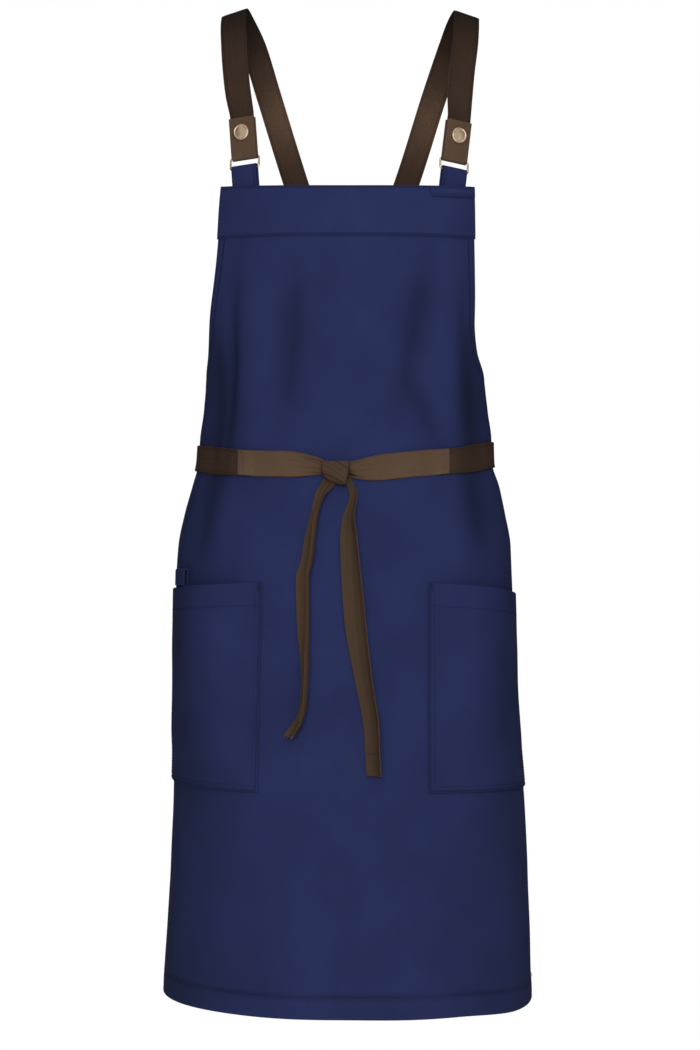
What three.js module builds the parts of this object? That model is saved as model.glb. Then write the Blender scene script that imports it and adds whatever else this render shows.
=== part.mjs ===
// A cross-back bib apron in the shape it has when worn: a navy twill panel wrapped round the body,
// webbing shoulder straps crossed on the back, a webbing belt and two tapes knotted in front.
// Millimetres. +Z is up, the wearer faces -Y, and left and right are those of someone facing the apron.
// The origin lies midway between the two shoulder straps where they pass over the shoulders.
import * as THREE from "three";

// Cloth and tape
const clothThickness = 1.2;
const webbingWidth = 25.4;
const webbingThickness = 1.5;
const seamGap = 0.4;
const beltClearance = 0.9;

// The panel's cut
const apronLength = 784;
const bibTopHalfWidth = 127.5;
const skirtHalfWidth = 362;
const bandDepth = 50;
const hemDipFrom = 0.72;

// The body that the apron is wrapped round
const shoulderToBib = 183;
const hemHalfWidth = 182;
const hemFrontDepth = 158;
const hemBackDepth = 112;

// Pockets and small loops
const pocketHeight = 198;
const pocketWidth = 176;
const pocketFullness = 9;
const pocketTopDrop = 378;
const pocketLoopWidth = 20;
const pocketLoopHeight = 17.5;
const pocketLoopOpening = 3;
const pocketLoopClearance = 2.2;
const pocketLoopTuck = -1;
const pocketLoopAcross = 0.555;
const bibLoopLength = 48;
const bibLoopInset = 1.5;
const bibLoopWidth = 10.5;
const bibLoopRise = 1.4;

// Rings, tabs and snaps
const ringWire = 1.8;
const ringInnerWidth = 28.8;
const ringOpening = 4.8;
const ringLoopWidth = 26.4;
const ringLoopHeight = 20;
const ringLoopTuck = 16;
const ringPlay = 1.05;
const ringTilt = 0.2;
const loopBehindPanel = 1.2;
const tabWidth = 26.8;
const tabLength = 43;
const snapDiameter = 16;
const snapHeight = 2.4;
const snapFromBar = 24.6;
const strapStartAbove = 12;

// Shoulder straps
const strapSpread = 113;
const strapEndInset = 12;
const strapEndDrift = 8;
const strapSlope = 0.32;

// Waist
const beltDrop = 259;
const seamFromFrontLeft = 102;
const seamFromFrontRight = 92.5;
const seamLap = 5;
const knotWidth = 27;
const knotHeight = 24;
const knotDepth = 8;
const knotRim = 3;
const knotLift = 4.9;
const knotFromFront = -11.5;
const tieUnderKnot = 2.5;
const beltEndPastBack = 52;
const tieGather = 0.48;
const gatherLength = 24;
const gatherBow = 1.1;
const gatherFolds = 1.5;
const tailClearance = 1.6;

// The form, from the bib's top edge to the hem. drop is a share of apronLength, left and right of
// hemHalfWidth, front and side of hemFrontDepth and back of hemBackDepth. Side is how far the widest
// points lie behind the shoulder line. Square is the plan's exponent: 2 is an ellipse.
const formRows = [
  { drop: 0.0, left: 0.864, right: 0.848, front: 0.715, back: 0.93, side: -0.025, square: 2.4 },
  { drop: 0.08, left: 0.835, right: 0.819, front: 0.722, back: 0.93, side: -0.025, square: 2.4 },
  { drop: 0.16, left: 0.806, right: 0.768, front: 0.715, back: 0.91, side: -0.022, square: 2.45 },
  { drop: 0.215, left: 0.768, right: 0.738, front: 0.7, back: 0.84, side: -0.019, square: 2.45 },
  { drop: 0.27, left: 0.782, right: 0.758, front: 0.684, back: 0.76, side: -0.013, square: 2.4 },
  { drop: 0.305, left: 0.803, right: 0.779, front: 0.674, back: 0.72, side: -0.01, square: 2.35 },
  { drop: 0.335, left: 0.812, right: 0.783, front: 0.67, back: 0.705, side: -0.006, square: 2.3 },
  { drop: 0.365, left: 0.845, right: 0.822, front: 0.69, back: 0.73, side: -0.003, square: 2.35 },
  { drop: 0.4, left: 0.886, right: 0.853, front: 0.735, back: 0.79, side: 0.0, square: 2.45 },
  { drop: 0.44, left: 0.92, right: 0.884, front: 0.775, back: 0.86, side: 0.003, square: 2.45 },
  { drop: 0.5, left: 0.932, right: 0.893, front: 0.822, back: 0.92, side: 0.008, square: 2.4 },
  { drop: 0.63, left: 0.938, right: 0.909, front: 0.895, back: 0.97, side: 0.02, square: 2.3 },
  { drop: 0.76, left: 0.944, right: 0.952, front: 0.945, back: 0.985, side: 0.032, square: 2.2 },
  { drop: 0.88, left: 0.97, right: 0.976, front: 0.98, back: 1.0, side: 0.043, square: 2.1 },
  { drop: 1.0, left: 1.002, right: 0.998, front: 1.0, back: 1.0, side: 0.051, square: 2.05 },
];

// The panel's cut edge, from the bib's corner down the armhole to the wing at the back. Left and right
// are shares of the way from bibTopHalfWidth to skirtHalfWidth.
const edgeRows = [
  { drop: 0.0, left: 0.0, right: 0.0 },
  { drop: 0.08, left: 0.036, right: 0.016 },
  { drop: 0.16, left: 0.108, right: 0.048 },
  { drop: 0.2, left: 0.19, right: 0.13 },
  { drop: 0.24, left: 0.375, right: 0.346 },
  { drop: 0.27, left: 0.638, right: 0.629 },
  { drop: 0.29, left: 0.863, right: 0.863 },
  { drop: 0.301, left: 0.976, right: 0.976 },
  { drop: 0.307, left: 1.0, right: 1.0 },
  { drop: 1.0, left: 1.0, right: 1.0 },
];

// How far the hem dips below apronLength round the body, from the left wing at -1 to the right wing at
// 1, as a share of bandDepth.
const hemRows = [
  { at: -1.0, dip: 0.0 },
  { at: -0.5, dip: 0.02 },
  { at: 0.0, dip: 0.0 },
  { at: 0.3, dip: 0.05 },
  { at: 0.55, dip: 0.19 },
  { at: 0.75, dip: 0.14 },
  { at: 1.0, dip: 0.08 },
];

// Soft folds of the panel. At the top and the bottom of each, across is the distance round the body
// from the centre front, as a share of bibTopHalfWidth. From and to are shares of apronLength. Width
// and height are shares of bibTopHalfWidth; a negative height is a valley.
const foldRows = [
  { top: -0.36, bottom: -0.54, from: 0.04, to: 0.34, width: 0.1, height: -0.048 },
  { top: 0.7, bottom: 0.39, from: 0.04, to: 0.31, width: 0.11, height: -0.05 },
  { top: 0.36, bottom: 0.8, from: 0.2, to: 0.34, width: 0.09, height: -0.035 },
  { top: -0.87, bottom: -1.03, from: 0.04, to: 0.4, width: 0.07, height: -0.034 },
  { top: 0.83, bottom: 0.83, from: 0.05, to: 0.42, width: 0.1, height: 0.034 },
  { top: -0.77, bottom: -0.78, from: 0.06, to: 0.36, width: 0.1, height: 0.018 },
  { top: 1.12, bottom: 1.16, from: 0.12, to: 0.42, width: 0.19, height: -0.065 },
  { top: -1.14, bottom: -1.18, from: 0.14, to: 0.42, width: 0.19, height: -0.06 },
  { top: 1.0, bottom: 1.22, from: 0.3, to: 0.5, width: 0.16, height: -0.045 },
  { top: -1.12, bottom: -1.32, from: 0.3, to: 0.5, width: 0.16, height: -0.04 },
  { top: 0.8, bottom: 0.96, from: 0.34, to: 0.5, width: 0.11, height: 0.02 },
  { top: -0.93, bottom: -1.08, from: 0.34, to: 0.5, width: 0.11, height: 0.02 },
  { top: -0.35, bottom: -0.55, from: 0.4, to: 1.25, width: 0.4, height: 0.03 },
  { top: 0.4, bottom: 0.5, from: 0.4, to: 1.25, width: 0.36, height: 0.03 },
  { top: 0.05, bottom: 0.0, from: 0.5, to: 1.25, width: 0.3, height: -0.02 },
  { top: -2.15, bottom: -2.35, from: 0.4, to: 1.25, width: 0.3, height: 0.02 },
  { top: 2.15, bottom: 2.35, from: 0.4, to: 1.25, width: 0.3, height: 0.02 },
];

// The belt's middle line: at is the place round the body, from -1 at the centre back on the left
// through 0 at the centre front to 1, and lower is how far it lies below beltDrop, as a share of
// webbingWidth.
const beltRows = [
  { at: -1.0, lower: -0.12 },
  { at: -0.8, lower: -0.08 },
  { at: -0.66, lower: 0.0 },
  { at: -0.5, lower: -0.02 },
  { at: -0.28, lower: 0.2 },
  { at: -0.12, lower: 0.36 },
  { at: 0.0, lower: 0.46 },
  { at: 0.12, lower: 0.32 },
  { at: 0.26, lower: 0.16 },
  { at: 0.5, lower: -0.16 },
  { at: 0.66, lower: -0.14 },
  { at: 0.8, lower: -0.12 },
  { at: 1.0, lower: -0.12 },
];

// Between the rows of a table a value runs along a monotone cubic, so nothing overshoots.
function readRow(rows, key, at, column) {
  const last = rows.length - 1;
  if (at <= rows[0][key]) return rows[0][column];
  if (at >= rows[last][key]) return rows[last][column];
  let i = 0;
  while (at > rows[i + 1][key]) i += 1;
  const slope = (k) => (rows[k + 1][column] - rows[k][column]) / (rows[k + 1][key] - rows[k][key]);
  const tangent = (k) => {
    if (k === 0) return slope(0);
    if (k === last) return slope(last - 1);
    const before = slope(k - 1);
    const after = slope(k);
    return before * after <= 0 ? 0 : (2 * before * after) / (before + after);
  };
  const span = rows[i + 1][key] - rows[i][key];
  const t = (at - rows[i][key]) / span;
  const h00 = (1 + 2 * t) * (1 - t) ** 2;
  const h10 = t * (1 - t) ** 2;
  const h01 = t * t * (3 - 2 * t);
  const h11 = t * t * (t - 1);
  const turn = span * (h10 * tangent(i) + h11 * tangent(i + 1));
  return h00 * rows[i][column] + h01 * rows[i + 1][column] + turn;
}

function smooth(low, high, x) {
  const t = Math.min(1, Math.max(0, (x - low) / (high - low)));
  return t * t * (3 - 2 * t);
}

// One side of the form's plan at a drop below the bib's top, as points with their distance round the
// body from the centre front.
const planSteps = 120;
const planCache = new Map();
function planAt(drop, side) {
  const key = `${side} ${drop.toFixed(2)}`;
  if (planCache.has(key)) return planCache.get(key);
  const share = drop / apronLength;
  const read = (column) => readRow(formRows, "drop", share, column);
  const half = hemHalfWidth * read(side < 0 ? "left" : "right");
  const front = hemFrontDepth * read("front");
  const back = hemBackDepth * read("back");
  const sideY = hemFrontDepth * read("side");
  const power = 2 / read("square");
  const points = [];
  let length = 0;
  for (let i = 0; i <= planSteps; i += 1) {
    const angle = (Math.PI * i) / planSteps;
    const c = Math.cos(angle);
    const x = side * half * Math.sin(angle) ** power;
    const y = sideY - Math.sign(c) * Math.abs(c) ** power * (c > 0 ? front : back);
    if (i > 0) length += Math.hypot(x - points[i - 1].x, y - points[i - 1].y);
    points.push({ x, y, length });
  }
  planCache.set(key, points);
  return points;
}

function halfRound(drop, side) {
  return planAt(drop, side)[planSteps].length;
}

// A point of the bare form, at a distance round the body and a drop below the bib's top.
function onForm(around, drop) {
  const side = around < 0 ? -1 : 1;
  const points = planAt(drop, side);
  const length = Math.min(Math.abs(around), points[planSteps].length);
  let low = 0;
  let high = planSteps;
  while (high - low > 1) {
    const middle = (low + high) >> 1;
    if (points[middle].length <= length) low = middle;
    else high = middle;
  }
  const t = (length - points[low].length) / (points[high].length - points[low].length);
  const x = points[low].x + t * (points[high].x - points[low].x);
  const y = points[low].y + t * (points[high].y - points[low].y);
  return new THREE.Vector3(x, y, -shoulderToBib - drop);
}

function foldHeight(around, drop) {
  const share = drop / apronLength;
  let height = 0;
  for (const fold of foldRows) {
    const along = (share - fold.from) / (fold.to - fold.from);
    if (along <= 0 || along >= 1) continue;
    const middle = bibTopHalfWidth * (fold.top + (fold.bottom - fold.top) * along);
    const across = (around - middle) / (bibTopHalfWidth * fold.width);
    height += bibTopHalfWidth * fold.height * Math.sin(Math.PI * along) ** 2 * Math.exp(-across * across);
  }
  return height;
}

const nudge = 2;
function formNormal(around, drop) {
  const across = onForm(around + nudge, drop).sub(onForm(around - nudge, drop));
  const down = onForm(around, drop + nudge).sub(onForm(around, drop - nudge));
  return down.cross(across).normalize();
}

// A point that stands lift outside the panel's outer face.
function onCloth(around, drop, lift = 0) {
  const height = foldHeight(around, drop) + lift;
  return onForm(around, drop).addScaledVector(formNormal(around, drop), height);
}

function edgeAt(drop, side) {
  const share = readRow(edgeRows, "drop", drop / apronLength, side < 0 ? "left" : "right");
  return side * (bibTopHalfWidth + (skirtHalfWidth - bibTopHalfWidth) * share);
}

// Solids

// A closed sheet from two grids of points, one for each face: front[row][column] and back[row][column].
function slab(front, back) {
  const rows = front.length;
  const columns = front[0].length;
  const position = [];
  for (const row of [...front, ...back]) for (const p of row) position.push(p.x, p.y, p.z);
  const faceAt = (r, c) => r * columns + c;
  const backAt = (r, c) => rows * columns + r * columns + c;
  const index = [];
  const quad = (a, b, c, d) => index.push(a, b, c, a, c, d);
  for (let r = 0; r + 1 < rows; r += 1) {
    for (let c = 0; c + 1 < columns; c += 1) {
      quad(faceAt(r, c), faceAt(r + 1, c), faceAt(r + 1, c + 1), faceAt(r, c + 1));
      quad(backAt(r, c), backAt(r, c + 1), backAt(r + 1, c + 1), backAt(r + 1, c));
    }
    const end = columns - 1;
    quad(faceAt(r, 0), backAt(r, 0), backAt(r + 1, 0), faceAt(r + 1, 0));
    quad(faceAt(r, end), faceAt(r + 1, end), backAt(r + 1, end), backAt(r, end));
  }
  const low = rows - 1;
  for (let c = 0; c + 1 < columns; c += 1) {
    quad(faceAt(0, c), faceAt(0, c + 1), backAt(0, c + 1), backAt(0, c));
    quad(faceAt(low, c), backAt(low, c), backAt(low, c + 1), faceAt(low, c + 1));
  }
  return outward(bufferOf(position, index));
}

function bufferOf(position, index) {
  const geometry = new THREE.BufferGeometry();
  geometry.setAttribute("position", new THREE.Float32BufferAttribute(position, 3));
  geometry.setIndex(index);
  return geometry;
}

// Turns a closed mesh's faces round if they point inwards.
function outward(geometry) {
  const p = geometry.getAttribute("position");
  const index = geometry.index.array;
  const [a, b, c] = [new THREE.Vector3(), new THREE.Vector3(), new THREE.Vector3()];
  let volume = 0;
  for (let i = 0; i < index.length; i += 3) {
    a.fromBufferAttribute(p, index[i]);
    b.fromBufferAttribute(p, index[i + 1]);
    c.fromBufferAttribute(p, index[i + 2]);
    volume += a.dot(b.cross(c));
  }
  if (volume < 0) index.reverse();
  return geometry;
}

// A sheet of cloth laid on the panel: place(u, v) gives {around, drop, lift}, and lift is that of its
// inner face.
function clothPatch(columns, rows, place, thickness) {
  const outer = [];
  const inner = [];
  for (let r = 0; r <= rows; r += 1) {
    outer.push([]);
    inner.push([]);
    for (let c = 0; c <= columns; c += 1) {
      const { around, drop, lift } = place(c / columns, r / rows);
      outer[r].push(onCloth(around, drop, lift + thickness));
      inner[r].push(onCloth(around, drop, lift));
    }
  }
  return slab(outer, inner);
}

function moveBy(point, way, distance) {
  return point.clone().addScaledVector(way, distance);
}

// A tape along stations of {at, across, out}. Its section is a list of [across, out] points of the
// tape's middle line, and normals to them come from the list itself.
function tape(stations, thickness, sectionOf) {
  const front = [];
  const back = [];
  stations.forEach((station, i) => {
    const section = sectionOf(i / (stations.length - 1));
    const place = ([x, y]) => moveBy(station.at, station.across, x).addScaledVector(station.out, y);
    const normal = section.map((_, k) => {
      const a = section[Math.max(0, k - 1)];
      const b = section[Math.min(section.length - 1, k + 1)];
      const size = Math.hypot(b[0] - a[0], b[1] - a[1]);
      return [-(b[1] - a[1]) / size, (b[0] - a[0]) / size];
    });
    const shifted = (by) => section.map(([x, y], k) => place([x + normal[k][0] * by, y + normal[k][1] * by]));
    front.push(shifted(thickness / 2));
    back.push(shifted(-thickness / 2));
  });
  return slab(front, back);
}

function flatSection(width, columns = 1) {
  const section = [];
  for (let c = 0; c <= columns; c += 1) section.push([width * (c / columns - 0.5), 0]);
  return section;
}

// Stations along a smooth route through key points. Each key has the tape's direction across, which is
// squared to the route.
function stationsAlong(keys, count) {
  const curve = new THREE.CatmullRomCurve3(keys.map((k) => k.at));
  const along = new THREE.CatmullRomCurve3(keys.map((k) => k.across));
  const stations = [];
  for (let i = 0; i <= count; i += 1) {
    const t = curve.getUtoTmapping(i / count);
    const tangent = curve.getTangent(t);
    const across = along.getPoint(t);
    across.addScaledVector(tangent, -across.dot(tangent)).normalize();
    stations.push({ at: curve.getPoint(t), across, out: new THREE.Vector3().crossVectors(tangent, across) });
  }
  return stations;
}

// A closed loop of round wire along points in order, all in one plane with the given normal.
function wireLoop(points, planeNormal, radius, sides) {
  const position = [];
  const index = [];
  points.forEach((p, i) => {
    const before = points[(i + points.length - 1) % points.length];
    const after = points[(i + 1) % points.length];
    const away = after.clone().sub(before).normalize().cross(planeNormal);
    for (let k = 0; k < sides; k += 1) {
      const angle = (2 * Math.PI * k) / sides;
      const q = p.clone().addScaledVector(away, radius * Math.cos(angle));
      q.addScaledVector(planeNormal, radius * Math.sin(angle));
      position.push(q.x, q.y, q.z);
      const next = (i + 1) % points.length;
      const [a, b] = [i * sides + k, i * sides + ((k + 1) % sides)];
      const [c, d] = [next * sides + ((k + 1) % sides), next * sides + k];
      index.push(a, b, c, a, c, d);
    }
  });
  return outward(bufferOf(position, index));
}

// Materials
const materials = {
  twill: new THREE.MeshStandardMaterial({ color: 0x2a3254, roughness: 0.85, metalness: 0 }),
  webbing: new THREE.MeshStandardMaterial({ color: 0x3c2e25, roughness: 0.8, metalness: 0 }),
  tape: new THREE.MeshStandardMaterial({ color: 0x5a473a, roughness: 0.85, metalness: 0 }),
  brass: new THREE.MeshStandardMaterial({ color: 0xa89272, roughness: 0.35, metalness: 1 }),
};

const apron = new THREE.Group();
function add(name, geometry, material) {
  const mesh = new THREE.Mesh(geometry, material);
  mesh.name = name;
  apron.add(mesh);
  return mesh;
}

// Panel

// Each band of rows runs from one share of apronLength to the next. They lie closer together where the
// armhole sweeps out to the wing and round the waist.
const panelColumns = 36;
const panelBands = [
  { from: 0.0, to: 0.18, rows: 5 },
  { from: 0.18, to: 0.27, rows: 4 },
  { from: 0.27, to: 0.307, rows: 5 },
  { from: 0.307, to: 0.42, rows: 8 },
  { from: 0.42, to: 1.0, rows: 11 },
];
const panelDrops = [0];
for (const band of panelBands) {
  const step = (band.to - band.from) / band.rows;
  for (let i = 1; i <= band.rows; i += 1) panelDrops.push(band.from + step * i);
}

const panelRows = panelDrops.length - 1;

function panelPlace(u, v) {
  const level = apronLength * panelDrops[Math.round(v * panelRows)];
  const around = u < 0.5 ? edgeAt(level, -1) * (1 - 2 * u) : edgeAt(level, 1) * (2 * u - 1);
  const dip = bandDepth * readRow(hemRows, "at", around / skirtHalfWidth, "dip");
  return { around, drop: level + dip * smooth(hemDipFrom, 1, level / apronLength), lift: -clothThickness };
}
add("apron_panel", clothPatch(panelColumns, panelRows, panelPlace, clothThickness), materials.twill);

// Bib band, and the strip sewn on its right corner
function bandPlace(u, v) {
  const drop = bandDepth * v;
  const around = u < 0.5 ? edgeAt(drop, -1) * (1 - 2 * u) : edgeAt(drop, 1) * (2 * u - 1);
  return { around, drop, lift: seamGap };
}
add("bib_band", clothPatch(panelColumns, 2, bandPlace, clothThickness), materials.twill);

const bandFace = seamGap + clothThickness;
function bibLoopPlace(u, v) {
  const drop = seamGap + bibLoopWidth * v;
  const around = edgeAt(drop, 1) - bibLoopInset - bibLoopLength * (1 - u);
  return { around, drop, lift: bandFace + seamGap + bibLoopRise * Math.sin(Math.PI * u) ** 0.7 };
}
add("bib_loop", clothPatch(8, 1, bibLoopPlace, clothThickness), materials.twill);

// Pockets: sewn down at both sides and the bottom, standing off the panel towards the open top

// Inner edge, top and bottom follow the photograph: inner is the distance from the centre front, as a
// share of pocketWidth, and the slopes are how much lower the outer end lies, as shares of pocketHeight.
const pockets = [
  { name: "pocket_left", side: -1, innerTop: 0.461, innerBottom: 0.486, slopeTop: 0.05, slopeBottom: -0.01 },
  { name: "pocket_right", side: 1, innerTop: 0.432, innerBottom: 0.43, slopeTop: 0.08, slopeBottom: 0.03 },
];

// The pocket stands off the panel most between fullFrom and fullTo, as shares of its width. Past bendTo,
// where it bends round the hip, outer is the share of this that is left. It is flat along its seams.
const fullness = {
  seam: 0.04,
  fullFrom: 0.3,
  fullTo: 0.36,
  bendTo: 0.68,
  outer: 0.14,
  endFrom: 0.84,
  lowFrom: 0.72,
};

function pocketLift(across, down) {
  const inner = smooth(fullness.seam, fullness.fullFrom, across);
  const bend = 1 - (1 - fullness.outer) * smooth(fullness.fullTo, fullness.bendTo, across);
  const end = 1 - smooth(fullness.endFrom, 1 - fullness.seam, across);
  const bottom = 1 - smooth(fullness.lowFrom, 1 - fullness.seam, down);
  return beltClearance + pocketFullness * inner * bend * end * bottom;
}

function pocketPlace(pocket, across, down) {
  const inner = pocketWidth * (pocket.innerTop + (pocket.innerBottom - pocket.innerTop) * down);
  const top = pocketTopDrop + pocketHeight * pocket.slopeTop * across;
  const bottom = pocketTopDrop + pocketHeight * (1 + pocket.slopeBottom * across);
  return {
    around: pocket.side * (inner + pocketWidth * across),
    drop: top + (bottom - top) * down,
    lift: pocketLift(across, down),
  };
}
for (const pocket of pockets) {
  add(pocket.name, clothPatch(14, 8, (u, v) => pocketPlace(pocket, u, v), clothThickness), materials.twill);
}

// Pocket loop: a narrow strip folded over, with both ends behind the pocket's top edge
const loopPocket = pockets[0];
function foldedLoop(frame, width, height, tuck, opening, thickness) {
  const radius = (opening + thickness) / 2;
  const turns = 8;
  const section = [[-radius, -tuck]];
  for (let i = 0; i <= turns; i += 1) {
    const angle = Math.PI * (1 - i / turns);
    section.push([radius * Math.cos(angle), height - radius - thickness / 2 + radius * Math.sin(angle)]);
  }
  section.push([radius, -tuck]);
  const stations = [-0.5, 0.5].map((share) => ({
    at: moveBy(frame.at, frame.across, width * share),
    across: frame.out,
    out: frame.up,
  }));
  return tape(stations, thickness, () => section);
}

function frameOnCloth(around, drop, lift) {
  const at = onCloth(around, drop, lift);
  const across = onCloth(around + nudge, drop, lift).sub(onCloth(around - nudge, drop, lift)).normalize();
  const out = formNormal(around, drop);
  return { at, across, out, up: new THREE.Vector3().crossVectors(out, across).normalize() };
}

const pocketLoopPlace = pocketPlace(loopPocket, pocketLoopAcross, 0);
const pocketLoopLift = pocketLoopClearance + clothThickness + pocketLoopOpening / 2;
const pocketLoopSeat = frameOnCloth(pocketLoopPlace.around, pocketLoopPlace.drop, pocketLoopLift);
const pocketLoopSizes = [pocketLoopWidth, pocketLoopHeight, pocketLoopTuck, pocketLoopOpening];
add("pocket_loop", foldedLoop(pocketLoopSeat, ...pocketLoopSizes, clothThickness), materials.twill);

// Shoulder straps. Each key is a point of the strap's middle line: x is its distance from the middle as
// a share of strapSpread, y its depth as a share of hemBackDepth and z its height as a share of
// shoulderToBib. The next three give the direction across the strap, towards the right.
const leftStrapKeys = [
  { x: -0.935, y: -0.665, z: -0.5, ax: 0.96, ay: -0.26, az: 0.07 },
  { x: -0.96, y: -0.58, z: -0.37, ax: 0.975, ay: -0.18, az: 0.1 },
  { x: -0.982, y: -0.42, z: -0.205, ax: 0.97, ay: -0.06, az: 0.2 },
  { x: -0.995, y: -0.21, z: -0.065, ax: 0.95, ay: 0.0, az: 0.29 },
  { x: -0.985, y: 0.0, z: 0.0, ax: 0.948, ay: 0.0, az: 0.316 },
  { x: -0.925, y: 0.22, z: -0.047, ax: 0.95, ay: 0.06, az: 0.3 },
  { x: -0.84, y: 0.43, z: -0.145, ax: 0.96, ay: 0.1, az: 0.28 },
  { x: -0.71, y: 0.73, z: -0.39, ax: 0.95, ay: 0.08, az: 0.3 },
  { x: -0.48, y: 0.93, z: -0.84, ax: 0.952, ay: 0.02, az: 0.305 },
  { x: -0.2, y: 0.955, z: -1.35, ax: 0.952, ay: 0.0, az: 0.305 },
  { x: 0.005, y: 0.92, z: -1.8, ax: 0.952, ay: 0.0, az: 0.305 },
  { x: 0.19, y: 0.79, z: -2.16, ax: 0.952, ay: -0.02, az: 0.3 },
];
const rightStrapKeys = [
  { x: 0.955, y: -0.665, z: -0.5, ax: 0.96, ay: 0.26, az: -0.07 },
  { x: 0.975, y: -0.58, z: -0.37, ax: 0.975, ay: 0.18, az: -0.1 },
  { x: 1.01, y: -0.42, z: -0.21, ax: 0.97, ay: 0.06, az: -0.2 },
  { x: 1.03, y: -0.21, z: -0.068, ax: 0.95, ay: 0.0, az: -0.29 },
  { x: 1.035, y: 0.0, z: -0.01, ax: 0.946, ay: 0.0, az: -0.326 },
  { x: 0.985, y: 0.22, z: -0.045, ax: 0.95, ay: -0.06, az: -0.3 },
  { x: 0.915, y: 0.43, z: -0.15, ax: 0.96, ay: -0.1, az: -0.28 },
  { x: 0.775, y: 0.73, z: -0.39, ax: 0.95, ay: -0.08, az: -0.31 },
  { x: 0.54, y: 0.93, z: -0.84, ax: 0.948, ay: -0.02, az: -0.32 },
  { x: 0.23, y: 0.955, z: -1.35, ax: 0.948, ay: 0.0, az: -0.32 },
  { x: 0.005, y: 0.875, z: -1.8, ax: 0.948, ay: 0.0, az: -0.32 },
  { x: -0.19, y: 0.79, z: -2.16, ax: 0.948, ay: 0.02, az: -0.3 },
];

function strapKey(row) {
  return {
    at: new THREE.Vector3(row.x * strapSpread, row.y * hemBackDepth, row.z * shoulderToBib),
    across: new THREE.Vector3(row.ax, row.ay, row.az).normalize(),
  };
}

// The strap's sewn end lies on the wing's outer face, under the belt.
function strapEndKeys(side) {
  const strapLift = beltClearance + webbingThickness / 2;
  const keys = [];
  for (const [below, further] of [
    [-0.9, 0],
    [-0.24, 0.5],
    [0.35, 1],
  ]) {
    const drop = beltDrop + webbingWidth * below;
    const around = side * (skirtHalfWidth - strapEndInset - strapEndDrift * further);
    const seat = frameOnCloth(around, drop, strapLift);
    const across = seat.across.clone().multiplyScalar(-1).addScaledVector(seat.up, side * strapSlope);
    keys.push({ at: seat.at, across: across.normalize() });
  }
  return keys;
}

// Straps, rings, ring loops, tabs and snaps, left and right
const sides = [
  { name: "left", rows: leftStrapKeys, endSide: 1, ringAt: -0.802, sunk: 0, lean: -0.08, tabLean: -0.103 },
  { name: "right", rows: rightStrapKeys, endSide: -1, ringAt: 0.825, sunk: 2.2, lean: 0.13, tabLean: 0.115 },
];
const wireRadius = ringWire / 2;
const clothFold = wireRadius + ringPlay + clothThickness / 2;
const tabFold = wireRadius + seamGap + webbingThickness / 2;
const clothFoldOuter = clothFold + clothThickness / 2;
const tabFoldOuter = tabFold + webbingThickness / 2;
const barSpacing = ringOpening + clothFoldOuter + tabFoldOuter;

// A frame leaned to the right and tilted back, with its across and out squared again.
function turned(frame, lean, tilt) {
  const up = moveBy(frame.up, frame.across, lean).addScaledVector(frame.out, -tilt).normalize();
  const across = moveBy(frame.across, up, -frame.across.dot(up)).normalize();
  return { at: frame.at, across, up, out: new THREE.Vector3().crossVectors(across, up) };
}

function moved(frame, up, out = 0) {
  return { ...frame, at: moveBy(frame.at, frame.up, up).addScaledVector(frame.out, out) };
}

function ringShape(frame) {
  const halfWidth = (ringInnerWidth + ringWire) / 2;
  const corner = ringWire * 1.2;
  const turns = 3;
  const points = [];
  for (const [sx, top] of [
    [1, false],
    [1, true],
    [-1, true],
    [-1, false],
  ]) {
    for (let i = 0; i <= turns; i += 1) {
      const share = (top ? sx > 0 : sx < 0) ? i / turns : 1 - i / turns;
      const angle = (Math.PI / 2) * share;
      const x = sx * (halfWidth - corner + corner * Math.cos(angle));
      const rise = corner * Math.sin(angle) - corner;
      const y = top ? barSpacing + rise : -rise;
      points.push(moveBy(frame.at, frame.across, x).addScaledVector(frame.up, y));
    }
  }
  return wireLoop(points, frame.out, wireRadius, 8);
}

// A turned shape: profile is a list of [radius, height], and both ends lie on the axis.
function turnedShape(profile, frame, sidesRound) {
  const position = [];
  const index = [];
  const place = (radius, height, angle) => {
    const p = moveBy(frame.at, frame.out, height);
    p.addScaledVector(frame.across, radius * Math.cos(angle));
    p.addScaledVector(frame.up, radius * Math.sin(angle));
    position.push(p.x, p.y, p.z);
  };
  const inner = profile.slice(1, -1);
  for (const [radius, height] of inner) {
    for (let k = 0; k < sidesRound; k += 1) place(radius, height, (2 * Math.PI * k) / sidesRound);
  }
  place(0, profile[0][1], 0);
  place(0, profile[profile.length - 1][1], 0);
  const start = inner.length * sidesRound;
  for (let k = 0; k < sidesRound; k += 1) {
    const next = (k + 1) % sidesRound;
    index.push(start, next, k);
    for (let i = 0; i + 1 < inner.length; i += 1) {
      const [a, b] = [i * sidesRound + k, i * sidesRound + next];
      index.push(a, b, b + sidesRound, a, b + sidesRound, a + sidesRound);
    }
    index.push(start + 1, (inner.length - 1) * sidesRound + k, (inner.length - 1) * sidesRound + next);
  }
  return outward(bufferOf(position, index));
}

const snapRadius = snapDiameter / 2;
const snapProfile = [
  [0, 0],
  [snapRadius * 0.94, 0],
  [snapRadius, snapHeight * 0.3],
  [snapRadius * 0.97, snapHeight * 0.7],
  [snapRadius * 0.89, snapHeight * 0.94],
  [snapRadius * 0.8, snapHeight * 0.9],
  [snapRadius * 0.76, snapHeight * 0.82],
  [snapRadius * 0.5, snapHeight * 0.95],
  [0, snapHeight],
];

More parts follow.
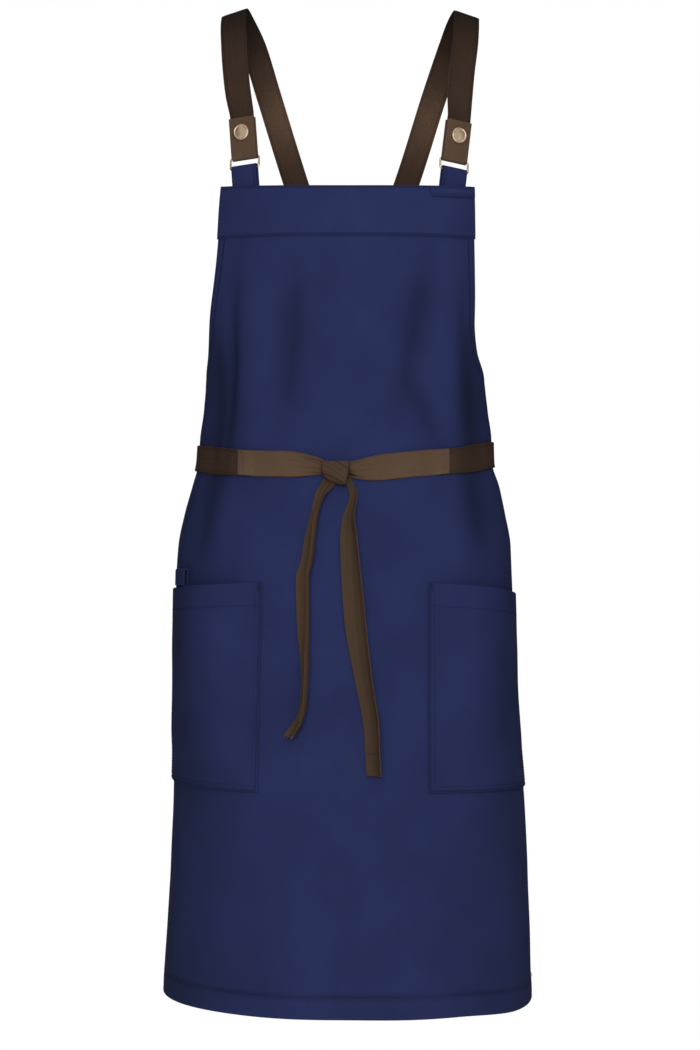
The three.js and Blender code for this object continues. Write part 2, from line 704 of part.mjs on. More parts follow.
for (const side of sides) {
  // The ring loop lies behind the panel, clear of its curve
  const behind = clothThickness + loopBehindPanel + clothFoldOuter;
  const seat = turned(frameOnCloth(bibTopHalfWidth * side.ringAt, side.sunk, -behind), side.lean, 0);
  const loopOpening = 2 * (wireRadius + ringPlay);
  add(
    `ring_loop_${side.name}`,
    foldedLoop(seat, ringLoopWidth, ringLoopHeight, ringLoopTuck, loopOpening, clothThickness),
    materials.twill,
  );

  const lowerBar = turned(moved(seat, ringLoopHeight - clothFoldOuter), 0, ringTilt);
  add(`ring_${side.name}`, ringShape(lowerBar), materials.brass);

  // The tab hangs from the upper bar and leans to one side, with its end still along the bar
  const upperBar = moved(lowerBar, barSpacing);
  upperBar.up = moveBy(upperBar.up, upperBar.across, side.tabLean).normalize();
  const tabTop = moved(upperBar, tabLength - tabFoldOuter);
  const tabFrame = { ...tabTop, up: tabTop.up.clone().negate() };
  add(
    `tab_${side.name}`,
    foldedLoop(tabFrame, tabWidth, tabLength, 0, 2 * (wireRadius + seamGap), webbingThickness),
    materials.tape,
  );

  const snapSeat = moved(upperBar, snapFromBar, tabFoldOuter + seamGap);
  add(`snap_${side.name}`, turnedShape(snapProfile, snapSeat, 24), materials.brass);

  const strapTop = tabLength - tabFoldOuter;
  const strapHeights = [strapStartAbove, strapTop - strapStartAbove, strapTop, strapTop + ringOpening];
  const strapStart = strapHeights.map((up) => {
    const seatOfStrap = moved(upperBar, up);
    return { at: seatOfStrap.at, across: seatOfStrap.across };
  });
  const keys = [...strapStart, ...side.rows.map(strapKey), ...strapEndKeys(side.endSide)];
  add(
    `strap_${side.name}`,
    tape(stationsAlong(keys, 52), webbingThickness, () => flatSection(webbingWidth, 2)),
    materials.webbing,
  );
}

// Belt

// A place on the belt, at a distance from the centre front going round by the given side. It carries on
// past the centre back on to the other side. Down is the distance below the belt's middle line.
function beltPlace(side, distance, down, lift) {
  const half = halfRound(beltDrop, side);
  const other = halfRound(beltDrop, -side);
  const past = distance > half;
  const around = past ? -side * (half + other - distance) : side * distance;
  const at = around / (past ? other : half);
  return { around, drop: beltDrop + webbingWidth * readRow(beltRows, "at", at, "lower") + down, lift };
}

// Belts: the left one lies against the wings, the right one passes over it at the back.
const layer = webbingThickness + beltClearance;
const ramp = webbingWidth;
const backHalf = Math.min(halfRound(beltDrop, -1), halfRound(beltDrop, 1));
const beltEnd = backHalf + beltEndPastBack;
const strapZone = skirtHalfWidth - strapEndInset - strapEndDrift - webbingWidth;
const beltZone = 2 * backHalf - beltEnd - ramp / 4;
function overStraps(distance) {
  return layer * smooth(strapZone - ramp, strapZone, Math.min(distance, 2 * backHalf - distance));
}
function overBelt(distance) {
  return layer * smooth(beltZone - ramp, beltZone, distance);
}
const seams = [
  { name: "left", side: -1, from: seamFromFrontLeft, lift: overStraps },
  { name: "right", side: 1, from: seamFromFrontRight, lift: (d) => overStraps(d) + overBelt(d) },
];
for (const seam of seams) {
  const place = (u, v) => {
    const distance = seam.from + (beltEnd - seam.from) * u;
    return beltPlace(seam.side, distance, webbingWidth * (v - 0.5), beltClearance + seam.lift(distance));
  };
  add(`belt_${seam.name}`, clothPatch(52, 2, place, webbingThickness), materials.webbing);
}

// Tie tapes: each is lapped over the belt's end, narrows and folds up towards the knot.
for (const seam of seams) {
  const knotEdge = seam.side * knotFromFront + knotWidth / 2 - tieUnderKnot;
  const lapEnd = seam.from + seamLap;
  const place = (u, v) => {
    const distance = knotEdge + (lapEnd - knotEdge) * u;
    const open = smooth(0, gatherLength, distance - knotEdge);
    const width = webbingWidth * (tieGather + (1 - tieGather) * open);
    const folds = gatherBow * (1 - open) * (1 + Math.cos(2 * Math.PI * gatherFolds * (v - 0.5)));
    const lift = beltClearance + layer * smooth(seam.from - ramp / 2, seam.from - 1, distance) + folds;
    return beltPlace(seam.side, distance, width * (v - 0.5), lift);
  };
  add(`tie_${seam.name}`, clothPatch(16, 6, place, webbingThickness), materials.tape);
}

// The knot, from its top edge down. Left and right are shares of knotWidth from its middle.
const knotRows = [
  { down: 0.0, left: -0.4, right: 0.44, full: 0.35 },
  { down: 0.12, left: -0.5, right: 0.5, full: 0.75 },
  { down: 0.35, left: -0.5, right: 0.49, full: 1.0 },
  { down: 0.55, left: -0.46, right: 0.46, full: 1.0 },
  { down: 0.75, left: -0.32, right: 0.41, full: 0.85 },
  { down: 1.0, left: 0.12, right: 0.36, full: 0.45 },
];
const knotDrop = beltDrop + webbingWidth * 0.17;

function knotPoint(u, v, lift) {
  const left = knotWidth * readRow(knotRows, "down", v, "left");
  const right = knotWidth * readRow(knotRows, "down", v, "right");
  return onCloth(knotFromFront + left + (right - left) * u, knotDrop + knotHeight * v, lift);
}

function knotGrid(liftAt) {
  const [columns, rows] = [10, 8];
  const grid = [];
  for (let r = 0; r <= rows; r += 1) {
    grid.push([]);
    for (let c = 0; c <= columns; c += 1) {
      const [u, v] = [c / columns, r / rows];
      grid[r].push(knotPoint(u, v, liftAt(u, v)));
    }
  }
  return grid;
}

function knotFace(u, v) {
  const full = readRow(knotRows, "down", v, "full") * Math.sqrt(Math.sin(Math.PI * u));
  return knotLift + knotRim + (knotDepth - knotRim) * full;
}
add("waist_knot", slab(knotGrid(knotFace), knotGrid(() => knotLift)), materials.tape);

// The tapes' free ends. drop is a share of apronLength and x, from the centre front, a share of
// webbingWidth. Wide is the tape's gathered width as a share of webbingWidth. Curl is how far the tape
// rolls up across its width and turn how far it faces sideways, as shares of a half turn.
const tails = [
  {
    name: "tail_left",
    rows: [
      { drop: 0.356, x: -0.56, wide: 0.38, curl: 0.2, turn: 0.0 },
      { drop: 0.366, x: -0.62, wide: 0.45, curl: 0.25, turn: 0.02 },
      { drop: 0.38, x: -0.86, wide: 0.55, curl: 0.6, turn: 0.2 },
      { drop: 0.407, x: -1.05, wide: 0.85, curl: 0.75, turn: 0.4 },
      { drop: 0.431, x: -1.19, wide: 0.95, curl: 0.8, turn: 0.36 },
      { drop: 0.455, x: -1.29, wide: 1.0, curl: 0.85, turn: 0.345 },
      { drop: 0.479, x: -1.48, wide: 1.0, curl: 0.85, turn: 0.29 },
      { drop: 0.527, x: -1.45, wide: 1.0, curl: 0.8, turn: 0.31 },
      { drop: 0.584, x: -1.41, wide: 1.0, curl: 0.55, turn: 0.42 },
      { drop: 0.622, x: -1.45, wide: 1.0, curl: 0.5, turn: 0.43 },
      { drop: 0.65, x: -1.6, wide: 1.0, curl: 0.55, turn: 0.42 },
      { drop: 0.666, x: -1.95, wide: 1.0, curl: 0.6, turn: 0.38 },
    ],
  },
  {
    name: "tail_right",
    rows: [
      { drop: 0.356, x: -0.06, wide: 0.32, curl: 0.24, turn: 0.0 },
      { drop: 0.366, x: 0.1, wide: 0.3, curl: 0.3, turn: 0.05 },
      { drop: 0.379, x: 0.24, wide: 0.4, curl: 0.35, turn: 0.25 },
      { drop: 0.407, x: 0.14, wide: 0.85, curl: 0.55, turn: 0.3 },
      { drop: 0.431, x: 0.16, wide: 1.0, curl: 0.55, turn: 0.25 },
      { drop: 0.527, x: 0.34, wide: 1.0, curl: 0.5, turn: 0.17 },
      { drop: 0.603, x: 0.71, wide: 1.0, curl: 0.5, turn: 0.27 },
      { drop: 0.661, x: 0.99, wide: 1.0, curl: 0.5, turn: 0.32 },
      { drop: 0.689, x: 1.02, wide: 1.0, curl: 0.5, turn: 0.33 },
      { drop: 0.713, x: 1.06, wide: 1.0, curl: 0.5, turn: 0.33 },
    ],
  },
];
function curledSection(width, curl, turn) {
  const columns = 6;
  const angle = Math.PI * curl;
  const radius = width / angle;
  const [c, s] = [Math.cos(Math.PI * turn), Math.sin(Math.PI * turn)];
  const section = [];
  for (let k = 0; k <= columns; k += 1) {
    const a = angle * (k / columns - 0.5);
    const [x, y] = [radius * Math.sin(a), radius * (1 - Math.cos(a))];
    section.push([x * c - y * s, x * s + y * c]);
  }
  const lowest = Math.min(...section.map((p) => p[1]));
  return section.map(([x, y]) => [x, y - lowest]);
}

for (const tail of tails) {
  const first = tail.rows[0].drop;
  const last = tail.rows[tail.rows.length - 1].drop;
  const read = (t, column) => readRow(tail.rows, "drop", first + (last - first) * t, column);
  const stations = [];
  const count = 28;
  for (let i = 0; i <= count; i += 1) {
    const t = i / count;
    const drop = apronLength * (first + (last - first) * t);
    const seat = frameOnCloth(webbingWidth * read(t, "x"), drop, tailClearance + webbingThickness / 2);
    stations.push({ at: seat.at, across: seat.across, out: seat.out });
  }
  const sectionAt = (t) => curledSection(webbingWidth * read(t, "wide"), read(t, "curl"), read(t, "turn"));
  add(tail.name, tape(stations, webbingThickness, sectionAt), materials.tape);
}

export default apron;
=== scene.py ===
import math

import bpy
import numpy as np
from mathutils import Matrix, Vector


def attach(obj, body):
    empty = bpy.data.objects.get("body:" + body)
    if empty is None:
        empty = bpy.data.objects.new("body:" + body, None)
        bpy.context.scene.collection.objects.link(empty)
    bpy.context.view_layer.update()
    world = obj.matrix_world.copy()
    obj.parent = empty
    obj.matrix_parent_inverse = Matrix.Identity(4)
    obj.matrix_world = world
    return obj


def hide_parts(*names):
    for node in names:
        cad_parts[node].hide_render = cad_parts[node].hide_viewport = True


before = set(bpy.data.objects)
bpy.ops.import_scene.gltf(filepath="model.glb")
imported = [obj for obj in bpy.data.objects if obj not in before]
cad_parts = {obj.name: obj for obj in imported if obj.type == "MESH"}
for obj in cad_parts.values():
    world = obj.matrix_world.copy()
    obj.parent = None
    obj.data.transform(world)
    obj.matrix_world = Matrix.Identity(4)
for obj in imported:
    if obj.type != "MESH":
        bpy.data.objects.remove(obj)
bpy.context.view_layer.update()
MM = 0.001

# Sizes in millimetres, the same as the solids'
CLOTH = 1.2
WEB_W = 25.4
WEB_T = 1.5
SEAM_GAP = 0.4
BELT_GAP = 0.9
LENGTH = 784
BIB_HALF = 127.5
SKIRT_HALF = 362
BAND = 50
SHOULDER_TO_BIB = 183
HEM_HALF = 182
HEM_FRONT = 158
HEM_BACK = 112
POCKET_H = 198
POCKET_W = 176
POCKET_FULL = 9
POCKET_TOP = 378
BELT_DROP = 259
SEAM_LEFT = 102
SEAM_RIGHT = 92.5
SEAM_LAP = 5


def table(text):
    """A table with named columns, from plain text."""
    rows = [line.split() for line in text.strip().splitlines()]
    return {name: np.array([float(r[i]) for r in rows[1:]]) for i, name in enumerate(rows[0])}


# The plan from the bib's top edge to the hem: half widths, depths and squareness
FORM = table("""
drop left right front back side square
0 .864 .848 .715 .93 -.025 2.4
.08 .835 .819 .722 .93 -.025 2.4
.16 .806 .768 .715 .91 -.022 2.45
.215 .768 .738 .7 .84 -.019 2.45
.27 .782 .758 .684 .76 -.013 2.4
.305 .803 .779 .674 .72 -.01 2.35
.335 .812 .783 .67 .705 -.006 2.3
.365 .845 .822 .69 .73 -.003 2.35
.4 .886 .853 .735 .79 0 2.45
.44 .92 .884 .775 .86 .003 2.45
.5 .932 .893 .822 .92 .008 2.4
.63 .938 .909 .895 .97 .02 2.3
.76 .944 .952 .945 .985 .032 2.2
.88 .97 .976 .98 1 .043 2.1
1 1.002 .998 1 1 .051 2.05
""")
EDGE = table("""
drop left right
0 0 0
.08 .036 .016
.16 .108 .048
.2 .19 .13
.24 .375 .346
.27 .638 .629
.29 .863 .863
.301 .976 .976
.307 1 1
1 1 1
""")
HEM_DIP = table("""
at dip
-1 0
-.5 .035
0 .055
.3 .09
.55 .19
.75 .14
1 .08
""")
BELT = table("""
at lower
-1 -.12
-.8 -.08
-.66 0
-.5 -.02
-.28 .2
-.12 .36
0 .46
.12 .32
.26 .16
.5 -.16
.66 -.14
.8 -.12
1 -.12
""")
# Soft folds: where each runs round the body, from and to which level, how wide and how high
FOLDS = table("""
top bottom from to width height
-.36 -.54 .04 .34 .1 -.048
.7 .39 .04 .31 .11 -.05
.36 .8 .2 .34 .09 -.035
-.87 -1.03 .04 .4 .07 -.034
.83 .83 .05 .42 .1 .034
-.77 -.78 .06 .36 .1 .018
1.12 1.16 .12 .42 .19 -.065
-1.14 -1.18 .14 .42 .19 -.06
1.0 1.22 .3 .5 .16 -.045
-1.12 -1.32 .3 .5 .16 -.04
.8 .96 .34 .5 .11 .02
-.93 -1.08 .34 .5 .11 .02
-.35 -.55 .4 1.25 .4 .03
.4 .5 .4 1.25 .36 .03
.05 0 .5 1.25 .3 -.02
-2.15 -2.35 .4 1.25 .3 .02
2.15 2.35 .4 1.25 .3 .02
""")


def along(tab, key, at, column):
    """A table's value between its rows, along a monotone cubic."""
    x, y = tab[key], tab[column]
    slope = np.diff(y) / np.diff(x)
    before, after = slope[:-1], slope[1:]
    with np.errstate(divide="ignore", invalid="ignore"):
        middle = np.where(before * after > 0, 2 * before * after / (before + after), 0)
    tangent = np.concatenate([[slope[0]], middle, [slope[-1]]])
    at = np.clip(np.asarray(at, float), x[0], x[-1])
    i = np.clip(np.searchsorted(x, at, side="right") - 1, 0, len(x) - 2)
    span = x[i + 1] - x[i]
    t = (at - x[i]) / span
    return (
        (1 + 2 * t) * (1 - t) ** 2 * y[i]
        + t * (1 - t) ** 2 * span * tangent[i]
        + t * t * (3 - 2 * t) * y[i + 1]
        + t * t * (t - 1) * span * tangent[i + 1]
    )


def smooth(low, high, x):
    t = np.clip((np.asarray(x, float) - low) / (high - low), 0, 1)
    return t * t * (3 - 2 * t)


def unit(v):
    return v / np.linalg.norm(v, axis=-1, keepdims=True)


def distance_along(line):
    return np.concatenate([[0], np.cumsum(np.linalg.norm(np.diff(line, axis=0), axis=1))])


def point_at(line, run, places):
    """Points of a line at places along it, where run is the distance at each of its own points."""
    return np.stack([np.interp(places, run, line[:, k]) for k in range(3)], -1)


# The worn form: a grid of points by level and by distance round the body
LEVEL_STEP = 4.0
LEVEL_ABOVE = 20
LEVEL_BELOW = 45
ARC_STEP = 2.0
ARC_END = 440.0
PLAN_POINTS = 241
levels = np.arange(-LEVEL_ABOVE, LENGTH + LEVEL_BELOW, LEVEL_STEP)
arcs = np.arange(-ARC_END, ARC_END + 1, ARC_STEP)


def plan(level, side):
    """Half of the body's outline at a level, from front to back, and the distance along it."""
    share = level / LENGTH
    half = HEM_HALF * along(FORM, "drop", share, "left" if side < 0 else "right")
    front = HEM_FRONT * along(FORM, "drop", share, "front")
    back = HEM_BACK * along(FORM, "drop", share, "back")
    middle = HEM_FRONT * along(FORM, "drop", share, "side")
    power = 2 / along(FORM, "drop", share, "square")
    angle = np.linspace(0, math.pi, PLAN_POINTS)
    c = np.cos(angle)
    x = side * half * np.maximum(np.sin(angle), 0) ** power
    y = middle - np.sign(c) * np.abs(c) ** power * np.where(c > 0, front, back)
    return x, y, distance_along(np.stack([x, y], -1))


def worn_form():
    """The grid. A point past the back's middle lies on the other half's outline."""
    grid = np.zeros((len(levels), len(arcs), 3))
    for row, level in enumerate(levels):
        halves = {side: plan(level, side) for side in (-1, 1)}
        for side in (-1, 1):
            x, y, run = halves[side]
            other_x, other_y, other_run = halves[-side]
            own = arcs * side >= 0
            s = np.abs(arcs[own])
            past = s > run[-1]
            far = other_run[-1] - (s - run[-1])
            grid[row, own, 0] = np.where(past, np.interp(far, other_run, other_x), np.interp(s, run, x))
            grid[row, own, 1] = np.where(past, np.interp(far, other_run, other_y), np.interp(s, run, y))
        grid[row, :, 2] = -SHOULDER_TO_BIB - level
    return grid


form = worn_form()
form_normal = unit(np.cross(np.gradient(form, axis=0), np.gradient(form, axis=1)))
half_belt = {side: plan(BELT_DROP, side)[2][-1] for side in (-1, 1)}


def sample(grid, around, level):
    r = np.clip((level - levels[0]) / LEVEL_STEP, 0, len(levels) - 1.001)
    c = np.clip((around - arcs[0]) / ARC_STEP, 0, len(arcs) - 1.001)
    i, j = r.astype(int), c.astype(int)
    fr, fc = (r - i)[..., None], (c - j)[..., None]
    return (
        grid[i, j] * (1 - fr) * (1 - fc)
        + grid[i + 1, j] * fr * (1 - fc)
        + grid[i, j + 1] * (1 - fr) * fc
        + grid[i + 1, j + 1] * fr * fc
    )


def fold_height(around, level):
    share = level / LENGTH
    height = np.zeros(np.broadcast(around, level).shape)
    for k in range(len(FOLDS["top"])):
        f = {name: column[k] for name, column in FOLDS.items()}
        t = np.clip((share - f["from"]) / (f["to"] - f["from"]), 0, 1)
        middle = BIB_HALF * (f["top"] + (f["bottom"] - f["top"]) * t)
        across = (around - middle) / (BIB_HALF * f["width"])
        height += BIB_HALF * f["height"] * np.sin(math.pi * t) ** 2 * np.exp(-across * across)
    return height


def on_cloth(around, level, lift=0.0):
    """Points that stand lift outside the panel's face."""
    around, level, lift = np.broadcast_arrays(*[np.asarray(v, float) for v in (around, level, lift)])
    height = fold_height(around, level) + lift
    return sample(form, around, level) + unit(sample(form_normal, around, level)) * height[..., None]


def edge_at(level, side):
    share = along(EDGE, "drop", np.asarray(level) / LENGTH, "left" if side < 0 else "right")
    return side * (BIB_HALF + (SKIRT_HALF - BIB_HALF) * share)


def seat_on_cloth(around, level, lift):
    """A frame on the cloth: its place, the ways across and up along the cloth, and the way out."""
    at = on_cloth(around, level, lift)
    across = unit(on_cloth(around + 2, level, lift) - on_cloth(around - 2, level, lift))
    out = unit(sample(form_normal, np.asarray(around, float), np.asarray(level, float)))
    return {"at": at, "across": across, "out": out, "up": unit(np.cross(out, across))}


# Meshes
def mark(obj, name, values):
    """Keeps one number for each vertex, for a material to read."""
    attribute = obj.data.attributes.new(name, "FLOAT", "POINT")
    attribute.data.foreach_set("value", np.asarray(values, np.float32).ravel())


def mark_both_faces(obj, name, values):
    """The same for a sheet, where the inner face takes the outer one's numbers."""
    mark(obj, name, np.tile(np.ravel(values), 2))


def piece(name, verts, faces, material, uv=None, edge=None, sharp=35):
    """A mesh piece from millimetres, riding on the one body."""
    mesh = bpy.data.meshes.new(name)
    mesh.from_pydata((np.asarray(verts) * MM).tolist(), [], faces)
    if uv is not None:
        layer = mesh.uv_layers.new(name="cut")
        index = np.zeros(len(mesh.loops), int)
        mesh.loops.foreach_get("vertex_index", index)
        layer.data.foreach_set("uv", (np.asarray(uv) * MM)[index].ravel())
    mesh.update()
    mesh.shade_smooth()
    mesh.set_sharp_from_angle(angle=math.radians(sharp))
    obj = bpy.data.objects.new(name, mesh)
    bpy.context.collection.objects.link(obj)
    mesh.materials.append(material)
    if edge is not None:
        mark(obj, "edge", edge)
    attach(obj, "root")
    return obj


def slab(name, outer, inner, material, uv, edge, sharp=35):
    """A closed sheet between two grids of points. edge is each point's distance from the sewn edge."""
    rows, cols = outer.shape[:2]
    n = rows * cols
    r, c = np.meshgrid(np.arange(rows - 1), np.arange(cols - 1), indexing="ij")
    a = (r * cols + c).ravel()
    face = np.stack([a, a + cols, a + cols + 1, a + 1], 1)
    back = face[:, ::-1] + n
    top = np.arange(cols)
    right = np.arange(1, rows) * cols + cols - 1
    bottom = (rows - 1) * cols + np.arange(cols - 2, -1, -1)
    left = np.arange(rows - 2, 0, -1) * cols
    ring = np.concatenate([top, right, bottom, left])
    after = np.roll(ring, -1)
    rim = np.stack([ring, after, after + n, ring + n], 1)
    verts = np.concatenate([outer.reshape(n, 3), inner.reshape(n, 3)])
    faces = np.concatenate([face, back, rim]).tolist()
    both_uv = np.concatenate([uv.reshape(n, 2)] * 2)
    both_edges = np.concatenate([edge.reshape(n)] * 2)
    return piece(name, verts, faces, material, both_uv, both_edges, sharp)


def tape(name, stations, section, thickness, material, sharp=50):
    """A tape along stations. section is its middle line at each station, across and out."""
    at, across, out = (stations[k] for k in ("at", "across", "out"))
    step = np.gradient(section, axis=1)
    normal = unit(np.stack([-step[..., 1], step[..., 0]], -1))
    run = distance_along(at)
    widths = np.linalg.norm(np.diff(section, axis=1), axis=2)
    wide = np.concatenate([np.zeros((len(section), 1)), np.cumsum(widths, axis=1)], 1)
    share = wide / wide[:, -1:] * 2 - 1
    # The woven edges are a little thinner than the middle
    half = (thickness / 2 * (1 - 0.45 * np.abs(share) ** 8))[..., None]

    def place(points):
        return at[:, None] + across[:, None] * points[..., :1] + out[:, None] * points[..., 1:]

    uv = np.stack([wide - wide[:, -1:] / 2, np.broadcast_to(run[:, None], wide.shape)], -1)
    edge = wide[:, -1:] / 2 * (1 - np.abs(share))
    outer, inner = place(section + normal * half), place(section - normal * half)
    return slab(name, outer, inner, material, uv, edge, sharp)


def flat_section(count, width, columns):
    line = np.linspace(-width / 2, width / 2, columns)
    return np.broadcast_to(np.stack([line, line * 0], -1), (count, columns, 2)).copy()


def smooth_route(p, t):
    """Points along a centripetal curve through key points, at the shares t between each two."""
    p = np.concatenate([[2 * p[0] - p[1]], p, [2 * p[-1] - p[-2]]])
    parts = []
    for k in range(1, len(p) - 2):
        d = [max(np.linalg.norm(p[k + m] - p[k + m - 1]) ** 0.5, 1e-4) for m in range(3)]
        t1 = (p[k] - p[k - 1]) / d[0] - (p[k + 1] - p[k - 1]) / (d[0] + d[1]) + (p[k + 1] - p[k]) / d[1]
        t2 = (p[k + 1] - p[k]) / d[1] - (p[k + 2] - p[k]) / (d[1] + d[2]) + (p[k + 2] - p[k + 1]) / d[2]
        t1, t2 = t1 * d[1], t2 * d[1]
        c2 = -3 * p[k] + 3 * p[k + 1] - 2 * t1 - t2
        c3 = 2 * p[k] - 2 * p[k + 1] + t1 + t2
        parts.append(p[k] + t1 * t + c2 * t**2 + c3 * t**3)
    return np.concatenate(parts)


def stations_along(at, across, spacing):
    """Stations along a smooth route through key points, evenly spaced."""
    at, across = np.asarray(at, float), np.asarray(across, float)
    t = np.linspace(0, 1, 40, endpoint=False)[:, None]
    line = np.concatenate([smooth_route(at, t), at[-1:]])
    side = np.concatenate([smooth_route(across, t), across[-1:]])
    run = distance_along(line)
    s = np.linspace(0, run[-1], max(2, int(run[-1] / spacing)) + 1)
    line, side = point_at(line, run, s), point_at(side, run, s)
    tangent = unit(np.gradient(line, axis=0))
    side = unit(side - tangent * np.sum(side * tangent, axis=1, keepdims=True))
    return {"at": line, "across": side, "out": np.cross(tangent, side)}


def round_faces(rings, sides, closed):
    """Faces between rings of points that follow one another."""
    i, k = np.meshgrid(np.arange(rings if closed else rings - 1), np.arange(sides), indexing="ij")
    n, m = (i + 1) % rings, (k + 1) % sides
    return np.stack([i * sides + k, i * sides + m, n * sides + m, n * sides + k], -1).reshape(-1, 4)


def closed_wire(points, radius, sides):
    """Round wire through a closed row of points, as vertices and faces."""
    p = np.asarray(points, float)
    tangent = unit(np.roll(p, -1, 0) - np.roll(p, 1, 0))
    centre = p.mean(0)
    normal = unit(np.cross(p[0] - centre, p[len(p) // 4] - centre))
    away = unit(np.cross(tangent, normal))
    angle = np.linspace(0, 2 * math.pi, sides, endpoint=False)
    ring = p[:, None] + radius * (away[:, None] * np.cos(angle)[:, None] + normal * np.sin(angle)[:, None])
    return ring.reshape(-1, 3), round_faces(len(p), sides, True).tolist()


def turned_piece(name, profile, seat, sides, material):
    """A round piece from a profile of radius and height on its axis."""
    angle = np.linspace(0, 2 * math.pi, sides, endpoint=False)
    spoke = seat["across"] * np.cos(angle)[:, None] + seat["up"] * np.sin(angle)[:, None]
    ring = seat["at"] + spoke[None] * profile[:, None, :1] + seat["out"] * profile[:, None, 1:]
    faces = round_faces(len(profile), sides, False).tolist()
    last = (len(profile) - 1) * sides
    faces += [list(range(sides))[::-1], list(range(last, last + sides))]
    return piece(name, ring.reshape(-1, 3), faces, material, sharp=40)


# Stitches
STITCH_SIDES = 6
STITCH_RINGS = table("""
along size high
-.5 .25 -.9
-.34 .85 .25
0 1 1
.34 .85 .25
.5 .25 -.9
""")
stitch_parts = {}


def stitch(kind, line, out, pitch=3.0, length=2.3, radius=0.28, rise=0.22):
    """Runs stitches of one thread along a line on the cloth. They are joined into one mesh at the end."""
    line, out = np.asarray(line, float), np.asarray(out, float)
    run = distance_along(line)
    count = int(run[-1] / pitch)
    if count < 1:
        return
    rings = len(STITCH_RINGS["along"])
    points = rings * STITCH_SIDES
    middle = (np.arange(count) + 0.5) * run[-1] / count
    size = STITCH_RINGS["size"] * radius
    high = STITCH_RINGS["high"] * rise
    angle = np.linspace(0, 2 * math.pi, STITCH_SIDES, endpoint=False)
    s = middle[:, None] + STITCH_RINGS["along"] * length
    at = point_at(line, run, s.ravel()).reshape(count, rings, 3)
    up = unit(point_at(out, run, s.ravel()).reshape(count, rings, 3))
    ahead, behind = (point_at(line, run, middle + half * length) for half in (0.5, -0.5))
    forward = unit(ahead - behind)[:, None]
    side = unit(np.cross(forward, up))
    spoke = side[:, :, None] * np.cos(angle)[:, None] + up[:, :, None] * np.sin(angle)[:, None] * 0.8
    ring = (at + up * (high + radius * 0.6)[:, None])[:, :, None] + spoke * size[:, None, None]
    thread_run = stitch_parts.setdefault(kind, {"verts": [], "faces": [], "count": 0})
    base = (np.arange(count) * points + thread_run["count"])[:, None, None]
    thread_run["faces"].append((round_faces(rings, STITCH_SIDES, False)[None] + base).reshape(-1, 4))
    thread_run["verts"].append(ring.reshape(-1, 3))
    thread_run["count"] += count * points


def stitch_on_cloth(kind, around, level, lift, **sizes):
    around, level = np.broadcast_arrays(np.asarray(around, float), np.asarray(level, float))
    stitch(kind, on_cloth(around, level, lift), sample(form_normal, around, level), **sizes)


# Materials
def srgb(text):
    """A hex colour as the eye reads it, turned into linear light."""
    v = [int(text[i : i + 2], 16) / 255 for i in (0, 2, 4)]
    return [c / 12.92 if c <= 0.04045 else ((c + 0.055) / 1.055) ** 2.4 for c in v] + [1]


def add(tree, kind, settings=None, links=None):
    """Adds one shader node with its settings and links. A whole number stands for an input's place."""
    made = tree.nodes.new(kind)
    for name, value in (settings or {}).items():
        if name == "stops":
            stops = made.color_ramp.elements
            while len(stops) < len(value):
                stops.new(0.5)
            for stop, (place, colour) in zip(stops, value):
                stop.position = place
                stop.color = srgb(colour)
        elif isinstance(name, int) or name in made.inputs:
            made.inputs[name].default_value = value
        else:
            setattr(made, name, value)
    for name, source in (links or {}).items():
        tree.links.new(source, made.inputs[name])
    return made


def new_material(name):
    mat = bpy.data.materials.new(name)
    mat.use_nodes = True
    return mat, mat.node_tree, mat.node_tree.nodes["Principled BSDF"]


# Distance between the weave's ribs in mm. Real ones are 0.6 to 1 mm apart, which is too fine to show
TWILL_RIB = 0.95
WEBBING_RIB = 1.35
TAPE_RIB = 1.2
HERRINGBONE = 3.2
# How often a pattern repeats in one millimetre of cloth
WANDERS = 0.12
SLUBS = 0.8
CLOUDS = 0.015
PUCKERS = 0.16


def thread_grain(tree, mm, weave, rib):
    """The height of the threads over the cloth, from its place in mm."""
    split = add(tree, "ShaderNodeSeparateXYZ", links={"Vector": mm})
    u, v = split.outputs["X"], split.outputs["Y"]
    # Threads wander a little, so that the weave isn't ruled
    wander = add(tree, "ShaderNodeTexNoise", {"Scale": WANDERS, "Detail": 2.0}, {"Vector": mm}).outputs["Fac"]
    wander = add(tree, "ShaderNodeMath", {"operation": "MULTIPLY", 1: 2.5}, {0: wander}).outputs[0]

    def ribs_across(place, faster=1.0):
        turns = 2 * math.pi / rib * faster
        phase = add(tree, "ShaderNodeMath", {"operation": "MULTIPLY_ADD", 1: turns}, {0: place, 2: wander})
        return add(tree, "ShaderNodeMath", {"operation": "SINE"}, {0: phase.outputs[0]}).outputs[0]

    if weave == "twill":
        slant = add(tree, "ShaderNodeMath", {"operation": "ADD"}, {0: u, 1: v}).outputs[0]
        ribs = ribs_across(slant)
        crossing = {0: ribs_across(u, 1.9), 1: ribs_across(v, 1.9)}
        threads = add(tree, "ShaderNodeMath", {"operation": "MULTIPLY"}, crossing).outputs[0]
    else:
        # Herringbone columns that run along the tape
        column = add(tree, "ShaderNodeMath", {"operation": "PINGPONG", 1: HERRINGBONE}, {0: u}).outputs[0]
        slant = add(tree, "ShaderNodeMath", {"operation": "ADD"}, {0: column, 1: v}).outputs[0]
        lengthwise = {0: ribs_across(u, rib / 2.1), 2: ribs_across(slant)}
        ribs = add(tree, "ShaderNodeMath", {"operation": "MULTIPLY_ADD", 1: 0.3}, lengthwise).outputs[0]
        threads = ribs_across(v, 1.25)
    share = {"operation": "MULTIPLY_ADD", 1: 0.45}
    return add(tree, "ShaderNodeMath", share, {0: threads, 2: ribs}).outputs[0]


